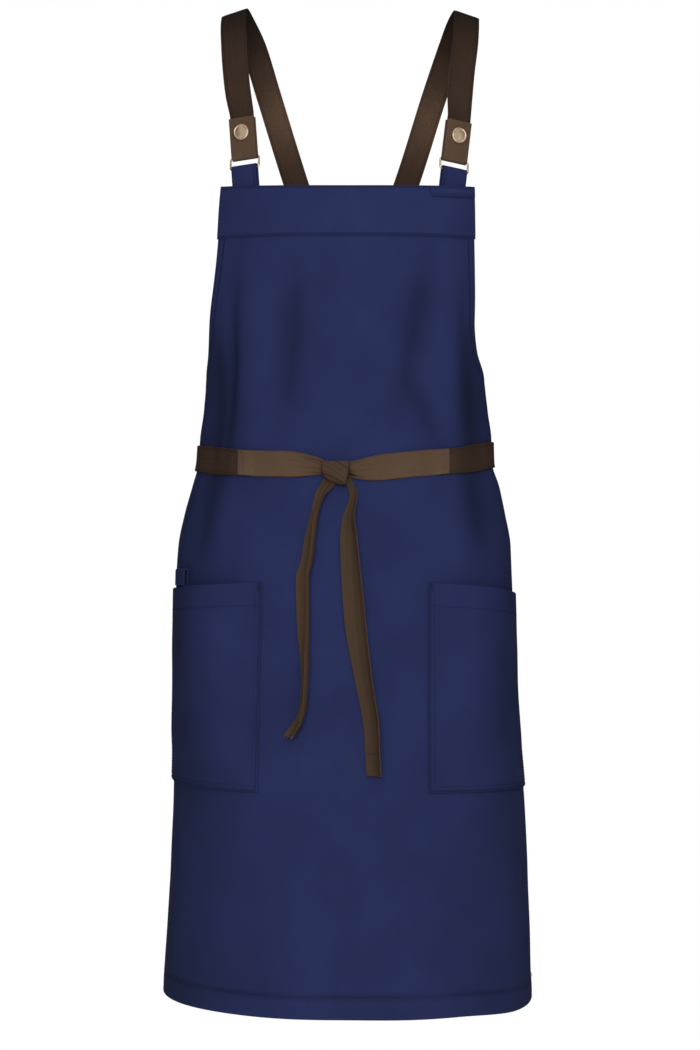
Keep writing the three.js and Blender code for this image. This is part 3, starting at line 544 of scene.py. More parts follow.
def seam_pull(tree, mm, seam, height):
    """How near a place is to the seam's stitches, and the height that they leave there."""
    edge = add(tree, "ShaderNodeAttribute", {"attribute_name": "edge"}).outputs["Fac"]
    slack = {"Scale": PUCKERS, "Detail": 2.0}
    pucker = add(tree, "ShaderNodeTexNoise", slack, {"Vector": mm}).outputs["Fac"]
    off = add(tree, "ShaderNodeMath", {"operation": "SUBTRACT", 1: seam}, {0: edge}).outputs[0]
    square = add(tree, "ShaderNodeMath", {"operation": "MULTIPLY"}, {0: off, 1: off}).outputs[0]
    falls = []
    for fall in (-0.7, -0.05):
        steep = add(tree, "ShaderNodeMath", {"operation": "MULTIPLY", 1: fall}, {0: square}).outputs[0]
        falls.append(add(tree, "ShaderNodeMath", {"operation": "EXPONENT"}, {0: steep}).outputs[0])
    near, wide = falls
    pull = add(tree, "ShaderNodeMath", {"operation": "MULTIPLY"}, {0: wide, 1: pucker}).outputs[0]
    for source, share in ((near, -0.45), (pull, 0.8)):
        more = {"operation": "MULTIPLY_ADD", 1: share}
        height = add(tree, "ShaderNodeMath", more, {0: source, 2: height}).outputs[0]
    return near, height


def woven_cotton(name, weave, rib, relief, colours, rough, sheen, seam=None):
    """Dyed cotton woven as twill or as webbing, its rib and relief in mm. It gives the eye a fine dry grain
    close up and a soft edge from afar. seam is how far from the cut edge stitches pull the cloth down."""
    mat, tree, shader = new_material(name)
    uv = add(tree, "ShaderNodeUVMap", {"uv_map": "cut"}).outputs["UV"]
    mm = add(tree, "ShaderNodeVectorMath", {"operation": "SCALE", "Scale": 1 / MM}, {"Vector": uv}).outputs[0]
    faded = add(tree, "ShaderNodeAttribute", {"attribute_name": "faded"}).outputs["Fac"]
    hollow = add(tree, "ShaderNodeAttribute", {"attribute_name": "hollow"}).outputs["Fac"]
    grain = thread_grain(tree, mm, weave, rib)
    slub = add(tree, "ShaderNodeTexNoise", {"Scale": SLUBS, "Detail": 3.0}, {"Vector": mm}).outputs["Fac"]
    cloud = add(tree, "ShaderNodeTexNoise", {"Scale": CLOUDS, "Detail": 4.0}, {"Vector": mm}).outputs["Fac"]

    # Thick threads and washing lighten the tone at random. The attribute adds painted light and shade on the
    # straps, and a darker tone on the knot and tails
    tone = faded
    for source, share in ((cloud, 0.45), (slub, 0.45), (grain, 0.11)):
        more = {"operation": "MULTIPLY_ADD", 1: share}
        tone = add(tree, "ShaderNodeMath", more, {0: source, 2: tone}).outputs[0]
    stops = [(0.25, colours["deep"]), (0.68, colours["worn"]), (1.0, colours["faded"])]
    tint = add(tree, "ShaderNodeValToRGB", {"stops": stops}, {"Fac": tone}).outputs["Color"]
    height = add(tree, "ShaderNodeMath", {"operation": "MULTIPLY", 1: relief / 2}, {0: grain}).outputs[0]
    thick = {0: slub, 2: height}
    height = add(tree, "ShaderNodeMath", {"operation": "MULTIPLY_ADD", 1: relief * 0.7}, thick).outputs[0]

    # Painted shade: fold valleys, creases and other marked places are darkened towards the shade colour, and
    # so is the groove along a seam's stitches
    dark = {"data_type": "RGBA", 7: srgb(colours["hollow"])}
    share = add(tree, "ShaderNodeMath", {"operation": "MULTIPLY", 1: 0.06}, {0: hollow}).outputs[0]
    tint = add(tree, "ShaderNodeMix", dark, {0: share, 6: tint}).outputs[2]
    if seam is not None:
        near, height = seam_pull(tree, mm, seam, height)
        share = add(tree, "ShaderNodeMath", {"operation": "MULTIPLY", 1: 0.26}, {0: near}).outputs[0]
        tint = add(tree, "ShaderNodeMix", dark, {0: share, 6: tint}).outputs[2]
    bump = add(tree, "ShaderNodeBump", {"Strength": 1.0, "Distance": MM}, {"Height": height})
    tree.links.new(tint, shader.inputs["Base Color"])
    tree.links.new(bump.outputs["Normal"], shader.inputs["Normal"])
    shader.inputs["Roughness"].default_value = rough
    shader.inputs["Specular IOR Level"].default_value = 0.12
    shader.inputs["Sheen Weight"].default_value = sheen
    shader.inputs["Sheen Roughness"].default_value = 0.4
    shader.inputs["Sheen Tint"].default_value = srgb(colours["worn"])
    return mat


# How often the brass's spots and wear repeat in one metre, 1.4 and 8 mm apart
BRASS_SPOTS = 700.0
BRASS_WEAR = 120.0


def tumbled_brass(name, low, high, rough):
    """Antique brass, tumbled and lacquered: warm grey highs, brown in the hollows, soft reflections."""
    mat, tree, shader = new_material(name)
    place = add(tree, "ShaderNodeTexCoord").outputs["Object"]
    fine, coarse = {"Scale": BRASS_SPOTS, "Detail": 4.0}, {"Scale": BRASS_WEAR, "Detail": 3.0}
    spots = add(tree, "ShaderNodeTexNoise", fine, {"Vector": place}).outputs["Fac"]
    wear = add(tree, "ShaderNodeTexNoise", coarse, {"Vector": place}).outputs["Fac"]
    tone = add(tree, "ShaderNodeMath", {"operation": "MULTIPLY", 1: 0.7}, {0: wear}).outputs[0]
    tone = add(tree, "ShaderNodeMath", {"operation": "MULTIPLY_ADD", 1: 0.3}, {0: spots, 2: tone}).outputs[0]
    stops = [(0.3, low), (0.65, high)]
    tint = add(tree, "ShaderNodeValToRGB", {"stops": stops}, {"Fac": tone}).outputs["Color"]
    rougher = {"operation": "MULTIPLY_ADD", 1: 0.2, 2: rough - 0.1}
    tree.links.new(add(tree, "ShaderNodeMath", rougher, {0: wear}).outputs[0], shader.inputs["Roughness"])
    bump = add(tree, "ShaderNodeBump", {"Strength": 0.25, "Distance": 0.02 * MM}, {"Height": spots})
    tree.links.new(tint, shader.inputs["Base Color"])
    tree.links.new(bump.outputs["Normal"], shader.inputs["Normal"])
    shader.inputs["Metallic"].default_value = 1
    return mat


def spun_thread(name, colour):
    """Spun cotton sewing thread, dyed to match: matt, seen only as a fine broken line."""
    mat, _, shader = new_material(name)
    shader.inputs["Base Color"].default_value = srgb(colour)
    shader.inputs["Roughness"].default_value = 0.75
    shader.inputs["Specular IOR Level"].default_value = 0.15
    return mat


SIDE_SEAM = 8
HEM_SEAM = 21
BAND_SEAM = 1.6
POCKET_SEAMS = (1.8, 6)
WEBBING_EDGE = 2.2
# Each cloth's colours: the painted shade colour that shaded places are darkened towards, then its tones from
# deep through worn to the palest
NAVY = {"hollow": "0a0c18", "deep": "1a2142", "worn": "262e58", "faded": "3a4474"}
DARK_BROWN = {"hollow": "140d09", "deep": "2a1e16", "worn": "45352a", "faded": "6a5242"}
LIGHT_BROWN = {"hollow": "20160f", "deep": "423327", "worn": "5f4c3c", "faded": "7a6350"}
navy_hemmed, navy_band, navy_pocket = [
    woven_cotton(f"navy twill {use}", "twill", TWILL_RIB, 0.1, NAVY, 0.9, 0.05, seam)
    for use, seam in (("hemmed", SIDE_SEAM), ("band", BAND_SEAM), ("pocket", POCKET_SEAMS[0]))
]
dark_web = woven_cotton("brown webbing", "webbing", WEBBING_RIB, 0.3, DARK_BROWN, 0.8, 0.12, WEBBING_EDGE)
light_tape = woven_cotton("light brown tape", "webbing", TAPE_RIB, 0.2, LIGHT_BROWN, 0.82, 0.15)
snap_brass = tumbled_brass("antique brass", "bfa182", "edd8bf", 0.58)
wire_brass = tumbled_brass("worn brass wire", "8c7a5f", "d8c8aa", 0.28)
navy_thread = spun_thread("navy thread", "161c38")
tape_thread = spun_thread("tape thread", "5a483c")


# Sewn edges, and places across a sheet that come close together at its edges
FINE = np.array([0, 0.35, 0.8, 1.5, 2.5, 3.8, 5.2, 6.6, 7.7, 8.8, 10.2, 12])


def rolled(edge, radius=1.0):
    """How full the cloth's thickness is near a folded edge, so that the edge looks round."""
    t = np.clip(edge / radius, 0, 1)
    return 0.35 + 0.65 * np.sqrt(1 - (1 - t) ** 2)


def spread(low, high, count, fine=FINE):
    """Places from low to high, close together at both ends."""
    low, high = np.broadcast_arrays(np.asarray(low, float), np.asarray(high, float))
    t = np.linspace(0, 1, count)[1:-1]
    a, b = low[..., None] + fine, high[..., None] - fine[::-1]
    middle = a[..., -1:] + (b[..., :1] - a[..., -1:]) * t
    return np.concatenate([a, middle, b], -1)


def groove(distance, depth, half_width):
    """A row of stitches presses the cloth down along its line."""
    return -depth * np.exp(-((distance / half_width) ** 2))


# Panel
TOP_SAG = 2.6
HEM_FREE = 0.72
HEM_ROWS = np.array([30, 27, 24.5, 22.8, 21, 19.2, 17.5, 15, 11, 7, 4, 2.2, 1.2, 0.6, 0.25, 0])


def hem_dip(around, level):
    """How much lower the hem's edge hangs. It fades out above the pockets' middle."""
    return BAND * along(HEM_DIP, "at", around / SKIRT_HALF, "dip") * smooth(HEM_FREE, 1, level / LENGTH)


def top_sag(around, level):
    """The bib's top edge sags a little between the straps."""
    return TOP_SAG * np.maximum(1 - (around / BIB_HALF) ** 2, 0) * np.maximum(1 - level / BAND, 0)


def panel_relief(around, level):
    """Small unevenness of washed cloth: long soft waves, none where other pieces lie on the panel."""
    x, y = around * 0.03, level * 0.016
    soft = np.sin(x * 1.7 + 1.3 * np.sin(y * 2.1)) * np.sin(y * 1.3 + 0.7 * np.sin(x * 1.1) + 0.6)
    free = smooth(BAND, BAND + 25, level) * smooth(15, 34, np.abs(level - BELT_DROP - 5))
    return soft * free * (0.3 + 0.3 * smooth(0.34, 0.5, level / LENGTH))


def hem_relief(at_side, at_hem, around):
    """The sewn rows at the sides and the hem, and the hem's puckers above its row."""
    waves = 0.25 * np.sin(around * 0.5 + 2 * np.sin(around * 0.07))
    pucker = waves * np.exp(-(((at_hem - HEM_SEAM + 6) / 9) ** 2))
    return groove(at_hem - HEM_SEAM, 0.17, 1.6) + groove(at_side - SIDE_SEAM, 0.3, 1.2) + pucker


def panel_levels():
    """Levels down the panel, closer at the armholes' turn and at the hem."""
    armhole, waist, hips = 0.2 * LENGTH, 0.312 * LENGTH, 0.42 * LENGTH
    bib = np.linspace(0, armhole, 40, endpoint=False)
    turn = np.linspace(armhole, waist, 56, endpoint=False)
    belt = np.linspace(waist, hips, 34, endpoint=False)
    skirt = np.linspace(hips, LENGTH - HEM_ROWS[0], 84, endpoint=False)
    return np.concatenate([bib, turn, belt, skirt, LENGTH - HEM_ROWS])


def apron_panel():
    level = panel_levels()
    left, right = edge_at(level, -1), edge_at(level, 1)
    around = spread(left, right, 170)
    drop = level[:, None] + hem_dip(around, level[:, None]) + top_sag(around, level[:, None])
    slant = np.hypot(1, np.gradient(np.abs(left), level))[:, None]
    at_side = np.minimum(around - left[:, None], right[:, None] - around) / slant
    at_hem = np.broadcast_to((LENGTH - level)[:, None], around.shape)
    at_edge = np.minimum(at_side, at_hem)
    lift = panel_relief(around, drop) * smooth(0, 20, at_edge) + hem_relief(at_side, at_hem, around)
    lift = np.minimum(lift, 0.3) - CLOTH
    panel = slab(
        "apron_panel_cloth",
        on_cloth(around, drop, lift + CLOTH * rolled(at_edge)),
        on_cloth(around, drop, lift),
        navy_hemmed,
        np.stack([around, -drop], -1),
        np.minimum(at_side, at_hem * SIDE_SEAM / HEM_SEAM),
    )
    # Painted shade: the panel is darkened in the folds' valleys, the deeper the darker
    mark_both_faces(panel, "hollow", np.maximum(-fold_height(around, drop), 0))
    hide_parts("apron_panel")


def panel_stitches():
    """One row along each side and one above the hem."""
    for side in (-1, 1):
        run = np.linspace(BAND + 2, LENGTH - 2, 900)
        line = np.stack([edge_at(run, side) * side, run], -1)
        step = unit(np.gradient(line, axis=0))
        inward = line + np.stack([-step[:, 1], step[:, 0]], -1) * SIDE_SEAM
        x, y = inward[:, 0] * side, inward[:, 1]
        y = y + hem_dip(x, y)
        stitch_on_cloth("navy", x, y, panel_relief(x, y) * 0.3 - 0.3)
    x = np.linspace(-SKIRT_HALF + 2, SKIRT_HALF - 2, 700)
    y = LENGTH - HEM_SEAM
    stitch_on_cloth("navy", x, y + hem_dip(x, y), -0.3)


apron_panel()
panel_stitches()


# Bib band, and the strip on its right corner
STRIP_L = 48
STRIP_W = 10.5
STRIP_INSET = 1.5
STRIP_RISE = 1.4
STRIP_CORNER = 3.5


def bib_band():
    level = spread(0.0, BAND, 14)
    around = spread(edge_at(level, -1), edge_at(level, 1), 120)
    drop = level[:, None] + top_sag(around, level[:, None])
    at_edge = np.broadcast_to(np.minimum(level, BAND - level)[:, None], around.shape)
    at_side = np.minimum(around - around[:, :1], around[:, -1:] - around)
    puff = 0.25 * np.sin(math.pi * drop / BAND) * (1 + 0.5 * np.sin(around * 0.09 + np.sin(drop * 0.1)))
    lift = SEAM_GAP + puff + groove(at_edge - BAND_SEAM, 0.22, 0.8)
    band = slab(
        "bib_band_cloth",
        on_cloth(around, drop, lift + CLOTH * rolled(np.minimum(at_edge, at_side))),
        on_cloth(around, drop, lift),
        navy_band,
        np.stack([around, -drop], -1),
        at_edge,
    )
    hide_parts("bib_band")
    for y in (BAND_SEAM, BAND - BAND_SEAM):
        x = np.linspace(edge_at(y, -1) + 1, edge_at(y, 1) - 1, 200)
        stitch_on_cloth("navy", x, y + top_sag(x, y), SEAM_GAP + CLOTH - 0.15)


def bib_loop():
    """The strip is sewn down at both ends, rises a little between them and has one rounded end."""
    u = np.linspace(0, 1, 60)
    v = spread(0.0, 1.0, 6, FINE[:7] / STRIP_W)[:, None]
    rounding = np.sqrt(1 - (1 - np.clip(u * STRIP_L / STRIP_CORNER, 0, 1)) ** 2)
    drop = SEAM_GAP + STRIP_W * v * (0.62 + 0.38 * rounding)
    around = edge_at(drop, 1) - STRIP_INSET - STRIP_L * (1 - u)
    drop = drop + top_sag(around, drop)
    lift = 2 * SEAM_GAP + CLOTH + STRIP_RISE * np.maximum(np.sin(math.pi * u), 0) ** 0.7
    at_edge = np.broadcast_to(STRIP_W * np.minimum(v, 1 - v), around.shape)
    strip = slab(
        "bib_loop_cloth",
        on_cloth(around, drop, lift + CLOTH * rolled(at_edge)),
        on_cloth(around, drop, lift),
        navy_band,
        np.stack([around, -drop], -1),
        at_edge,
    )
    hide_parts("bib_loop")
    u = np.linspace(0.06, 0.98, 60)
    x = edge_at(STRIP_W, 1) - STRIP_INSET - STRIP_L * (1 - u)
    rise = STRIP_RISE * np.sin(math.pi * u) ** 0.7
    for y in (BAND_SEAM, STRIP_W - BAND_SEAM):
        low = y + SEAM_GAP + top_sag(x, y)
        stitch_on_cloth("navy", x, low, 2 * SEAM_GAP + 2 * CLOTH - 0.15 + rise)


bib_band()
bib_loop()


# Pockets
# Each pocket's inner edge as shares of its width, and how its top and bottom slope outwards
POCKETS = {
    "pocket_left": {
        "side": -1,
        "inner_top": 0.461,
        "inner_bottom": 0.486,
        "slope_top": 0.05,
        "slope_bottom": -0.01,
    },
    "pocket_right": {
        "side": 1,
        "inner_top": 0.432,
        "inner_bottom": 0.43,
        "slope_top": 0.08,
        "slope_bottom": 0.03,
    },
}
POCKET_HEM = 22
POCKET_ROWS = np.array([0, 0.25, 0.7, 1.4, 2.6, 5, 8, 12, 16, 19, 20.6, 21.4, 22, 22.6, 23.4, 25, 28])
BARTACK_STITCHES = 8
BARTACK_W = 4
LOOP_ACROSS = 0.555
LOOP_CLEAR = 2.2
LOOP_W = 20
LOOP_H = 17.5
LOOP_TUCK = -1
LOOP_OPEN = 3


def pocket_lift(across, down):
    """The pocket stands off the panel towards its open top, more so over the hip's front."""
    inner = smooth(0.04, 0.3, across)
    outer = 1 - 0.86 * smooth(0.36, 0.68, across)
    seam = 1 - smooth(0.84, 0.96, across)
    bottom = 1 - smooth(0.72, 0.96, down)
    return BELT_GAP + POCKET_FULL * inner * outer * seam * bottom


def pocket_place(name, across, down):
    own = POCKETS[name]
    inner = POCKET_W * (own["inner_top"] + (own["inner_bottom"] - own["inner_top"]) * down)
    top = POCKET_TOP + POCKET_H * own["slope_top"] * across
    bottom = POCKET_TOP + POCKET_H * (1 + own["slope_bottom"] * across)
    return own["side"] * (inner + POCKET_W * across), top + (bottom - top) * down, pocket_lift(across, down)


def pocket_waves(name, across, down):
    """A few slack waves below the hem, fading at the seams."""
    side = POCKETS[name]["side"]
    free = smooth(0.02, 0.12, across) * smooth(0.02, 0.12, 1 - across) * smooth(0.02, 0.1, 1 - down)
    wave = 0.5 * np.sin(9 * across + 2.4 * np.sin(5 * down + side)) * np.sin(5.5 * down + 1.1 * side)
    return wave * free * smooth(0.08, 0.3, down)


def patch_pocket(name):
    across = spread(0.0, 1.0, 90, FINE / POCKET_W)
    tops, ends = POCKET_ROWS / POCKET_H, 1 - FINE[::-1] / POCKET_H
    down = np.concatenate([tops, np.linspace(tops[-1], ends[0], 80)[1:-1], ends])
    across, down = np.meshgrid(across, down)
    around, drop, lift = pocket_place(name, across, down)
    at_seam = np.minimum(np.minimum(across, 1 - across) * POCKET_W, (1 - down) * POCKET_H)
    at_hem = down * POCKET_H
    lift = lift + groove(at_hem - POCKET_HEM, 0.15, 1.1) + pocket_waves(name, across, down)
    for seam in POCKET_SEAMS:
        lift = lift + groove(at_seam - seam, 0.22, 0.9)
    pocket = slab(
        name + "_cloth",
        on_cloth(around, drop, lift + CLOTH * rolled(np.minimum(at_seam, at_hem))),
        on_cloth(around, drop, lift),
        navy_pocket,
        np.stack([around, -drop], -1),
        np.minimum(at_seam, np.abs(at_hem - POCKET_HEM) + 3.6),
    )
    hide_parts(name)


def pocket_stitches(name):
    """Two rows round the sewn sides, one below the hem, and a bartack at each top corner."""
    for seam in POCKET_SEAMS:
        a, b = seam / POCKET_W, seam / POCKET_H
        path = np.concatenate(
            [
                np.stack([np.full(60, a), np.linspace(0.004, 1 - b, 60)], -1),
                np.stack([np.linspace(a, 1 - a, 60)[1:], np.full(59, 1 - b)], -1),
                np.stack([np.full(59, 1 - a), np.linspace(1 - b, 0.004, 60)[1:]], -1),
            ]
        )
        x, y, high = pocket_place(name, path[:, 0], path[:, 1])
        stitch_on_cloth("navy", x, y, high + CLOTH - 0.18 + pocket_waves(name, path[:, 0], path[:, 1]))
    a = np.linspace(0.01, 0.99, 120)
    x, y, high = pocket_place(name, a, np.full(120, POCKET_HEM / POCKET_H))
    stitch_on_cloth("navy", x, y, high + CLOTH - 0.2)
    for corner in (1.4, POCKET_W - 1.4 - BARTACK_W):
        for k in range(BARTACK_STITCHES):
            d = (1.6 + 0.9 * k) / POCKET_H
            a = np.linspace(corner, corner + BARTACK_W, 8) / POCKET_W
            x, y, high = pocket_place(name, a, np.full(8, d))
            stitch_on_cloth("navy", x, y, high + CLOTH - 0.15, pitch=4, length=3.7, radius=0.24)


for name in POCKETS:
    patch_pocket(name)
    pocket_stitches(name)


def folded_loop(name, seat, width, height, tuck, opening, thickness, material, slotted):
    """A strip folded over and open inside, with both ends down at -tuck."""
    radius = (opening + thickness) / 2
    angle = np.linspace(math.pi, 0, 26)
    arc = np.stack([radius * np.cos(angle), height - radius - thickness / 2 + radius * np.sin(angle)], -1)
    low = np.linspace(-tuck, arc[0, 1], 18)[:-1]
    legs = [np.stack([np.full(len(low), x), low], -1) for x in (-radius, radius)]
    section = np.concatenate([legs[0], arc, legs[1][::-1]])
    step = unit(np.gradient(section, axis=0))
    normal = np.stack([-step[:, 1], step[:, 0]], -1)
    run = distance_along(section)
    wide = spread(-width / 2, width / 2, 8, FINE[:8])
    at_edge = np.minimum(wide + width / 2, width / 2 - wide)
    half = thickness / 2 * rolled(at_edge, 0.7)
    grids = []
    for sign in (1, -1):
        p = section[None] + normal[None] * (sign * half)[:, None, None]
        flat = seat["at"] + seat["across"] * wide[:, None, None]
        grids.append(flat + p[..., :1] * seat["out"] + p[..., 1:] * seat["up"])
    uv = np.stack(np.broadcast_arrays(wide[:, None], run[None]), -1)
    edge = np.broadcast_to(at_edge[:, None], uv.shape[:2])
    obj = slab(name + "_cloth", grids[0], grids[1], material, uv, edge)
    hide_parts(name)


def pocket_loop():
    x, y, _ = pocket_place("pocket_left", LOOP_ACROSS, 0.0)
    seat = seat_on_cloth(x, y, LOOP_CLEAR + CLOTH + LOOP_OPEN / 2)
    folded_loop("pocket_loop", seat, LOOP_W, LOOP_H, LOOP_TUCK, LOOP_OPEN, CLOTH, navy_band, "navy_twill")


pocket_loop()


# Ring loops, rings, tabs, snaps and shoulder straps
RING_WIRE = 1.8
RING_INNER = 28.8
RING_OPEN = 4.8
RING_PLAY = 1.05
RING_LOOP_W = 26.4
RING_LOOP_H = 20
RING_LOOP_TUCK = 16
LOOP_BEHIND = 1.2
TAB_W = 26.8
TAB_L = 43
SNAP_D = 16
SNAP_H = 2.4
SNAP_UP = 24.6
STRAP_ABOVE = 12
RING_TILT = 0.2
WIRE_R = RING_WIRE / 2
CLOTH_FOLD = WIRE_R + RING_PLAY + CLOTH
TAB_FOLD = WIRE_R + SEAM_GAP + WEB_T
BARS_APART = RING_OPEN + CLOTH_FOLD + TAB_FOLD
STRAP_SPREAD = 113
STRAP_SLOPE = 0.32
STRAP_INSET = 12
STRAP_DRIFT = 8
STRAP = {
    "left": table("""
x y z ax ay az
-.935 -.665 -.5 .96 -.26 .07
-.96 -.58 -.37 .975 -.18 .1
-.982 -.42 -.205 .97 -.06 .2
-.995 -.21 -.065 .95 0 .29
-.985 0 0 .948 0 .316
-.925 .22 -.047 .95 .06 .3
-.84 .43 -.145 .96 .1 .28
-.71 .73 -.39 .95 .08 .3
-.48 .93 -.84 .952 .02 .305
-.2 .955 -1.35 .952 0 .305
.005 .92 -1.8 .952 0 .305
.19 .79 -2.16 .952 -.02 .3
"""),
    "right": table("""
x y z ax ay az
.955 -.665 -.5 .96 .26 -.07
.975 -.58 -.37 .975 .18 -.1
1.01 -.42 -.21 .97 .06 -.2
1.03 -.21 -.068 .95 0 -.29
1.035 0 -.01 .946 0 -.326
.985 .22 -.045 .95 -.06 -.3
.915 .43 -.15 .96 -.1 -.28
.775 .73 -.39 .95 -.08 -.31
.54 .93 -.84 .948 -.02 -.32
.23 .955 -1.35 .948 0 -.32
.005 .875 -1.8 .948 0 -.32
-.19 .79 -2.16 .948 .02 -.3
"""),
}
# Where each ring hangs as a share of the bib's half, how far below the top edge, how it leans, and on which
# side of the back its strap ends
SIDES = {
    "left": {"at": -0.802, "sunk": 0.0, "lean": -0.08, "tab_lean": -0.103, "end": 1},
    "right": {"at": 0.825, "sunk": 2.2, "lean": 0.13, "tab_lean": 0.115, "end": -1},
}
# The snap cap's profile: its radius and height as shares
SNAP = table("""
radius height
.9 0
.97 .08
1 .25
.998 .5
.985 .68
.955 .84
.92 .92
.88 .94
.845 .93
.82 .89
.8 .83
.78 .8
.75 .815
.6 .89
.4 .95
.2 .985
""")


def turned(seat, lean, tilt):
    up = unit(seat["up"] + seat["across"] * lean - seat["out"] * tilt)
    across = unit(seat["across"] - up * np.dot(seat["across"], up))
    return {"at": seat["at"], "across": across, "up": up, "out": np.cross(across, up)}


def moved(seat, up, out=0.0):
    return {**seat, "at": seat["at"] + seat["up"] * up + seat["out"] * out}


def ring_loop(name, side):
    """The cloth loop behind the bib. Returns the seat of the ring's lower bar, which it holds."""
    behind = CLOTH + LOOP_BEHIND + CLOTH_FOLD
    seat = turned(seat_on_cloth(BIB_HALF * side["at"], side["sunk"], -behind), side["lean"], 0)
    opening = 2 * (WIRE_R + RING_PLAY)
    sizes = (RING_LOOP_W, RING_LOOP_H, RING_LOOP_TUCK, opening, CLOTH)
    folded_loop(f"ring_loop_{name}", seat, *sizes, navy_band, "navy_twill")
    return turned(moved(seat, RING_LOOP_H - CLOTH_FOLD), 0, RING_TILT)


def wire_ring(name, bar):
    half, corner = (RING_INNER + RING_WIRE) / 2, RING_WIRE * 1.2
    turn = np.linspace(0, math.pi / 2, 9)
    lines = []
    for sx, top in ((1, False), (1, True), (-1, True), (-1, False)):
        angle = turn if (top == (sx > 0)) else turn[::-1]
        x = sx * (half - corner + corner * np.cos(angle))
        rise = corner * np.sin(angle) - corner
        lines.append(np.stack([x, BARS_APART + rise if top else -rise], -1))
    path = np.concatenate(lines)
    dense = []
    for a, b in zip(path, np.roll(path, -1, 0)):
        steps = max(1, int(np.linalg.norm(b - a) / 1.2))
        dense += [a + (b - a) * k / steps for k in range(steps)]
    dense = np.array(dense)
    points = bar["at"] + bar["across"] * dense[:, :1] + bar["up"] * dense[:, 1:]
    verts, faces = closed_wire(points, WIRE_R, 16)
    ring = piece(f"ring_{name}_wire", verts, faces, wire_brass, sharp=60)
    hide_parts(f"ring_{name}")


def folded_tab(name, bar):
    top = moved(bar, TAB_L - TAB_FOLD)
    tab_seat = {**top, "up": -top["up"], "across": -top["across"]}
    opening = 2 * (WIRE_R + SEAM_GAP)
    folded_loop(f"tab_{name}", tab_seat, TAB_W, TAB_L, 0, opening, WEB_T, light_tape, "light_tape")


def snap_cap(name, bar):
    profile = np.stack([SNAP["radius"] * SNAP_D / 2, SNAP["height"] * SNAP_H], -1)
    snap_seat = moved(bar, SNAP_UP, TAB_FOLD + SEAM_GAP)
    snap = turned_piece(f"snap_{name}_cap", profile, snap_seat, 72, snap_brass)
    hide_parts(f"snap_{name}")


def shoulder_strap(name, bar, end_side):
    """From inside the folded tab over the shoulder, across the back and under the belts."""
    strap_top = TAB_L - TAB_FOLD
    keys, ways = [], []
    for up in (STRAP_ABOVE, strap_top - STRAP_ABOVE, strap_top, strap_top + RING_OPEN):
        keys.append(moved(bar, up)["at"])
        ways.append(bar["across"])
    rows = STRAP[name]
    for k in range(len(rows["x"])):
        keys.append(
            np.array([rows["x"][k] * STRAP_SPREAD, rows["y"][k] * HEM_BACK, rows["z"][k] * SHOULDER_TO_BIB])
        )
        ways.append(unit(np.array([rows["ax"][k], rows["ay"][k], rows["az"][k]])))
    for below, further in ((-0.9, 0), (-0.24, 0.5), (0.35, 1)):
        x = end_side * (SKIRT_HALF - STRAP_INSET - STRAP_DRIFT * further)
        end = seat_on_cloth(x, BELT_DROP + WEB_W * below, BELT_GAP + WEB_T / 2)
        keys.append(end["at"])
        ways.append(unit(-end["across"] + end["up"] * end_side * STRAP_SLOPE))
    route = stations_along(keys, ways, 2.5)
    strap = tape(f"strap_{name}_webbing", route, flat_section(len(route["at"]), WEB_W, 15), WEB_T, dark_web)
    below = route["at"][:, 2].max() - route["at"][:, 2]
    # Painted light and shade on the strap: darker at its crest over the shoulder, one face painted paler down
    # the back, and that paler part fading out above the bib as a painted shadow
    crest_painted_shade = -0.34 * np.exp(-below / 16) - 0.16 * np.exp(-below / 60)
    inner = 0.41 * smooth(5, 75, below) * (1 - smooth(95, 180, below))
    faded = np.concatenate([np.repeat(v[:, None], 15, 1).ravel() for v in (crest_painted_shade + inner, crest_painted_shade)])
    mark(strap, "faded", faded)
    # More painted shade at the crest over the shoulder
    mark(strap, "hollow", np.tile(np.repeat(10 * np.exp(-below / 7) + 4.6 * np.exp(-below / 40), 15), 2))
    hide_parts(f"strap_{name}")


for name, side in SIDES.items():
    bar = ring_loop(name, side)
    wire_ring(name, bar)
    bar = {**moved(bar, BARS_APART), "up": unit(bar["up"] + bar["across"] * side["tab_lean"])}
    folded_tab(name, bar)
    snap_cap(name, bar)
    shoulder_strap(name, bar, side["end"])


# Belts and ties
BELT_PAST = 52
TIE_NARROW = 0.56
GATHER_L = 24
GATHER_BOW = 1.1
GATHER_FOLDS = 1.5
# How far from the knot a tie's edges start to close in, and how far it sits below its middle line there
GATHER_REACH = 34
TIE_SETTLE = {-1: -1.5, 1: 0.9}
KNOT_W = 27
KNOT_H = 24
KNOT_D = 8
KNOT_LIFT = 4.9
KNOT_X = -11.5
KNOT_RIM = 3
TIE_UNDER = 2.5
LAYER = WEB_T + BELT_GAP
back_half = min(half_belt.values())
belt_end = back_half + BELT_PAST
strap_zone = SKIRT_HALF - STRAP_INSET - STRAP_DRIFT - WEB_W
belt_zone = 2 * back_half - belt_end - WEB_W / 4


def belt_place(side, distance, down):
    half, other = half_belt[side], half_belt[-side]
    past = distance > half
    around = np.where(past, -side * (half + other - distance), side * distance)
    at = around / np.where(past, other, half)
    return around, BELT_DROP + WEB_W * along(BELT, "at", at, "lower") + down


# Creases in the ties by the knot: where each starts and ends across the tie, and how far it runs
CREASES = table("""
side from long v end width deep
-1 0 26 -.1 -.36 .035 .8
-1 0 18 .42 .3 .05 1
-1 0 12 .2 .12 .03 .5
-1 10 14 -.3 -.42 .025 .7
1 0 17 .3 .4 .06 1.6
1 0 8 .3 .34 .15 1.8
1 0 11 .05 .3 .04 .9
1 0 22 -.25 -.42 .03 .5
1 0 26 .12 .2 .02 .45
""")


